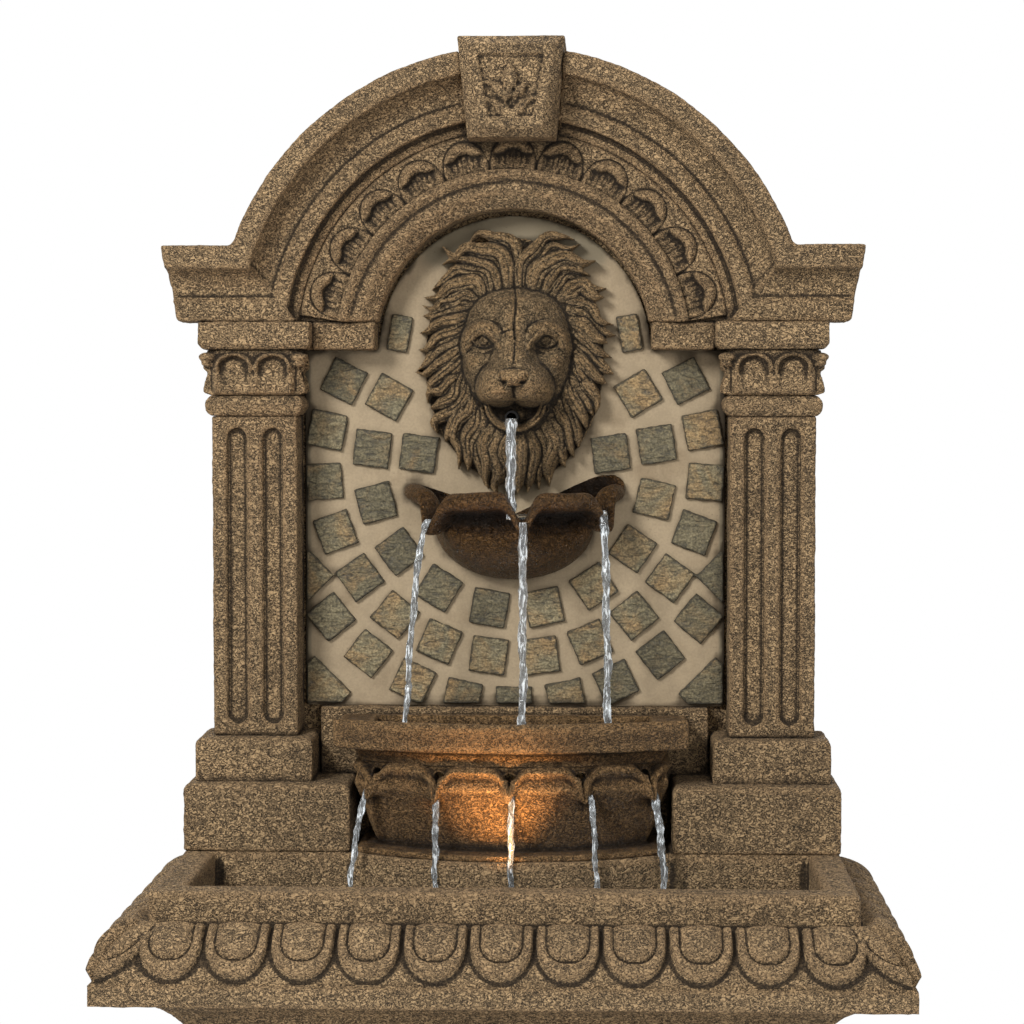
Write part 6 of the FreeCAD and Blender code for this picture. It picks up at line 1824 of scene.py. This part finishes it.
class FOUNTAIN_OT_water(bpy.types.Operator):
    """Streams, and the water in the basin, the shelf and the upper bowl"""

    bl_idname = "fountain.water"
    bl_label = "Water"

    def execute(self, context):
        sizes = context.scene.fountain_sizes
        level = sizes.water_level / MM
        streams = (
            ("mouth", (0.0, 54.0, 877.0), (0.0, 44.0, 772.0), 1.45),
            ("left", (-86.0, 66.0, 772.0), (-110.0, 34.0, SHELF_WATER), 1.0),
            ("middle", (13.0, 28.0, 771.0), (13.0, 16.0, SHELF_WATER), 1.0),
            ("right", (95.0, 84.0, 780.0), (101.0, 52.0, SHELF_WATER), 1.0),
            ("spout_1", (-145.0, 42.0, 496.0), (-166.0, 10.0, level), 1.0),
            ("spout_2", (-75.0, 6.0, 493.0), (-76.0, -10.0, level), 0.8),
            ("spout_3", (2.0, -8.0, 493.0), (2.0, -20.0, level), 0.8),
            ("spout_4", (82.0, 6.0, 493.0), (90.0, -12.0, level), 0.9),
            ("spout_5", (145.0, 42.0, 496.0), (160.0, 12.0, level), 1.0),
        )
        for index, (name, start, end, share) in enumerate(streams):
            shape = self.stream(start, end, sizes.stream_radius / MM * share, index)
            obj = object_from("water_" + name, shape)
            round_off(obj, 1)
            displace(obj, "broken water", 2.6)
            settle(obj)
            hand_in(obj, STONE_BODY, None, water_material(context))
        self.pool(context, "basin", self.basin_spot, level)
        self.pool(context, "shelf", self.shelf_spot, SHELF_WATER)
        self.pool(context, "bowl", self.bowl_spot, BOWL_WATER)
        return {"FINISHED"}

    def stream(self, start, end, radius, seed):
        """A falling thread of water that thins and swings a little."""
        shape = bmesh.new()
        ring = bmesh.ops.create_circle(shape, cap_ends=True, segments=10, radius=radius * MM)["verts"]
        bmesh.ops.translate(shape, verts=ring, vec=Vector(start) * MM)
        steps = max(int((start[2] - end[2]) / STREAM_STEP), 8)
        last = Vector(start)
        face = shape.faces[:]
        for step in range(1, steps + 1):
            share = step / steps
            sway = STREAM_SWAY * math.sin(share * 17.0 + seed) * share
            spot = Vector((start[0] + (end[0] - start[0]) * math.sqrt(share) + sway,
                           start[1] + (end[1] - start[1]) * math.sqrt(share),
                           start[2] + (end[2] - start[2]) * share))
            grown = bmesh.ops.extrude_face_region(shape, geom=face)["geom"]
            verts = only(grown, bmesh.types.BMVert)
            face = only(grown, bmesh.types.BMFace)
            bmesh.ops.translate(shape, verts=verts, vec=(spot - last) * MM)
            before = math.sin((share - 1.0 / steps) * 31.0 + seed * 2.0)
            wider = 1.0 + STREAM_SWELL * (math.sin(share * 31.0 + seed * 2.0) - before)
            bmesh.ops.scale(shape, verts=verts, vec=(wider, wider, 1.0),
                            space=Matrix.Translation(-spot * MM))
            last = spot
        inner = [item for item in shape.faces if len(item.verts) > 4 and item is not face[0]]
        bmesh.ops.delete(shape, geom=inner[1:], context="FACES_ONLY")
        bmesh.ops.recalc_face_normals(shape, faces=shape.faces)
        return shape

    def basin_spot(self, x, y):
        """Water in the trough, round the chamber, the lamp and the drain plug."""
        trough = (np.abs(x) < 308.0) & (y > -132.0) & (y < 150.0)
        chamber = np.hypot(x / 166.0, (y - 132.0) / 150.0) < 1.0
        walls = (np.abs(x) > 166.0) & (y > 44.0)
        lamp = np.hypot(x / 43.0, (y + 74.0) / 42.0) < 1.0
        plug = np.hypot(x - 270.0, y - 7.0) < 26.0
        return trough & ~chamber & ~walls & ~lamp & ~plug

    def shelf_spot(self, x, y):
        return (np.abs(x) < 143.0) & (y < 119.0) & (y > 18.0 + 50.0 * (x / LOWER_BOWL_HALF) ** 2)

    def bowl_spot(self, x, y):
        return np.hypot(x, y - WALL_FACE) < 84.0

    def pool(self, context, name, inside, level):
        """A thin sheet of rippled water."""

        def layout(u, v):
            return (u - 0.5) * SHEET_WIDTH, SHEET_FRONT + SHEET_DEPTH * v

        def carve(across, along):
            wave = np.sin(across / 9.0 + 2.0 * np.sin(along / 23.0)) * np.cos(along / 11.0)
            return np.where(inside(across, along), SHEET_THICKNESS + 0.7 * wave, -1.0)

        plane = ((0.0, 0.0, level - SHEET_THICKNESS), (1.0, 0.0, 0.0), (0.0, 1.0, 0.0))
        shape = relief(plane, 180, 86, layout, carve, SHEET_THICKNESS, holed=True)
        obj = object_from("water_" + name, shape)
        hand_in(obj, STONE_BODY, None, pool_material(context))


# Colour, spread, grain, least and most roughness and bump of each finish, its constants and its nodes
FITTING_FINISHES = {
    "rear plastic": ("cover_plastic", (0.06, 900.0, 0.5, 0.6, 0.3), {},
                     ("rear_cover", "access_door", "door_pull")),
    "dark plastic": ("dark_plastic", (0.15, 900.0, 0.35, 0.5, 0.25), {},
                     ("pump_housing", "pump_cover", "impeller", "flow_knob", "light_yoke",
                      "light_housing", "light_bezel", "cable_gland")),
    "spout plastic": ("rubber", (0.2, 900.0, 0.8, 0.95, 0.25), {"Specular IOR Level": 0.1},
                      ("mouth_spout",)),
    "steel": ("steel", (0.12, 1200.0, 0.22, 0.4, 0.15), {"Metallic": 1.0},
              ("cover_screws", "hinge_leaves_fixed", "hinge_leaves_door", "hinge_pins", "door_strike",
               "door_magnet", "wall_bolts", "wall_nuts", "mask_bolts", "impeller_shaft", "hose_clamps",
               "light_pivots")),
    "rubber": ("rubber", (0.2, 700.0, 0.7, 0.9, 0.3), {}, ("floor_pads", "pump_feet", "drain_plug")),
    "hose vinyl": ("hose_vinyl", (0.05, 500.0, 0.2, 0.35, 0.1), {"Transmission Weight": 0.5},
                   ("supply_hose",)),
    "lens glass": ("water", (0.02, 500.0, 0.05, 0.1, 0.05), {"Transmission Weight": 0.9},
                   ("light_lens",)),
    "lamp board": ("led_board", (0.1, 800.0, 0.4, 0.6, 0.1), {}, ("light_emitter",)),
}


class FOUNTAIN_OT_fittings(bpy.types.Operator):
    """Finishes of the CAD nodes that stay visible"""

    bl_idname = "fountain.fittings"
    bl_label = "Fittings"

    def execute(self, context):
        colours = context.scene.fountain_colours
        for name, (colour, values, constants, nodes) in FITTING_FINISHES.items():
            dress_nodes(plain_material(name, getattr(colours, colour), *values, constants), *nodes)
        return {"FINISHED"}


class FOUNTAIN_OT_grime_and_shade(bpy.types.Operator):
    """Painted shade, with dirt, in the joints between all the stone pieces"""

    bl_idname = "fountain.grime"
    bl_label = "Grime"

    def execute(self, context):
        words = ("stone_", "grout_", "slate_")
        mark_grime_and_shade([obj for obj in context.scene.objects if obj.name.startswith(words)])
        return {"FINISHED"}


class FOUNTAIN_PT_pieces(bpy.types.Panel):
    """Lists the pieces and their settings"""

    bl_idname = "FOUNTAIN_PT_pieces"
    bl_label = "Lion head fountain"
    bl_space_type = "VIEW_3D"
    bl_region_type = "UI"
    bl_category = "Fountain"

    def draw(self, context):
        for step in STEPS:
            self.layout.operator(step.bl_idname)
        for settings in (context.scene.fountain_sizes, context.scene.fountain_colours):
            column = self.layout.column()
            for key in settings.__annotations__:
                column.prop(settings, key)


STEPS = (
    FOUNTAIN_OT_stage,
    FOUNTAIN_OT_base,
    FOUNTAIN_OT_eggs,
    FOUNTAIN_OT_columns,
    FOUNTAIN_OT_capitals,
    FOUNTAIN_OT_arch,
    FOUNTAIN_OT_arch_leaves,
    FOUNTAIN_OT_keystone,
    FOUNTAIN_OT_lion,
    FOUNTAIN_OT_upper_bowl,
    FOUNTAIN_OT_lower_bowl,
    FOUNTAIN_OT_mosaic,
    FOUNTAIN_OT_grime_and_shade,
    FOUNTAIN_OT_water,
    FOUNTAIN_OT_fittings,
)
CLASSES = (FountainSizes, FountainColours, *STEPS, FOUNTAIN_PT_pieces)


def register():
    for item in CLASSES:
        bpy.utils.register_class(item)
    bpy.types.Scene.fountain_sizes = PointerProperty(type=FountainSizes)
    bpy.types.Scene.fountain_colours = PointerProperty(type=FountainColours)


def unregister():
    del bpy.types.Scene.fountain_colours
    del bpy.types.Scene.fountain_sizes
    for item in reversed(CLASSES):
        bpy.utils.unregister_class(item)


def main():
    register()
    for step in STEPS:
        family, action = step.bl_idname.split(".")
        getattr(getattr(bpy.ops, family), action)()


if __name__ == "__main__":
    main()
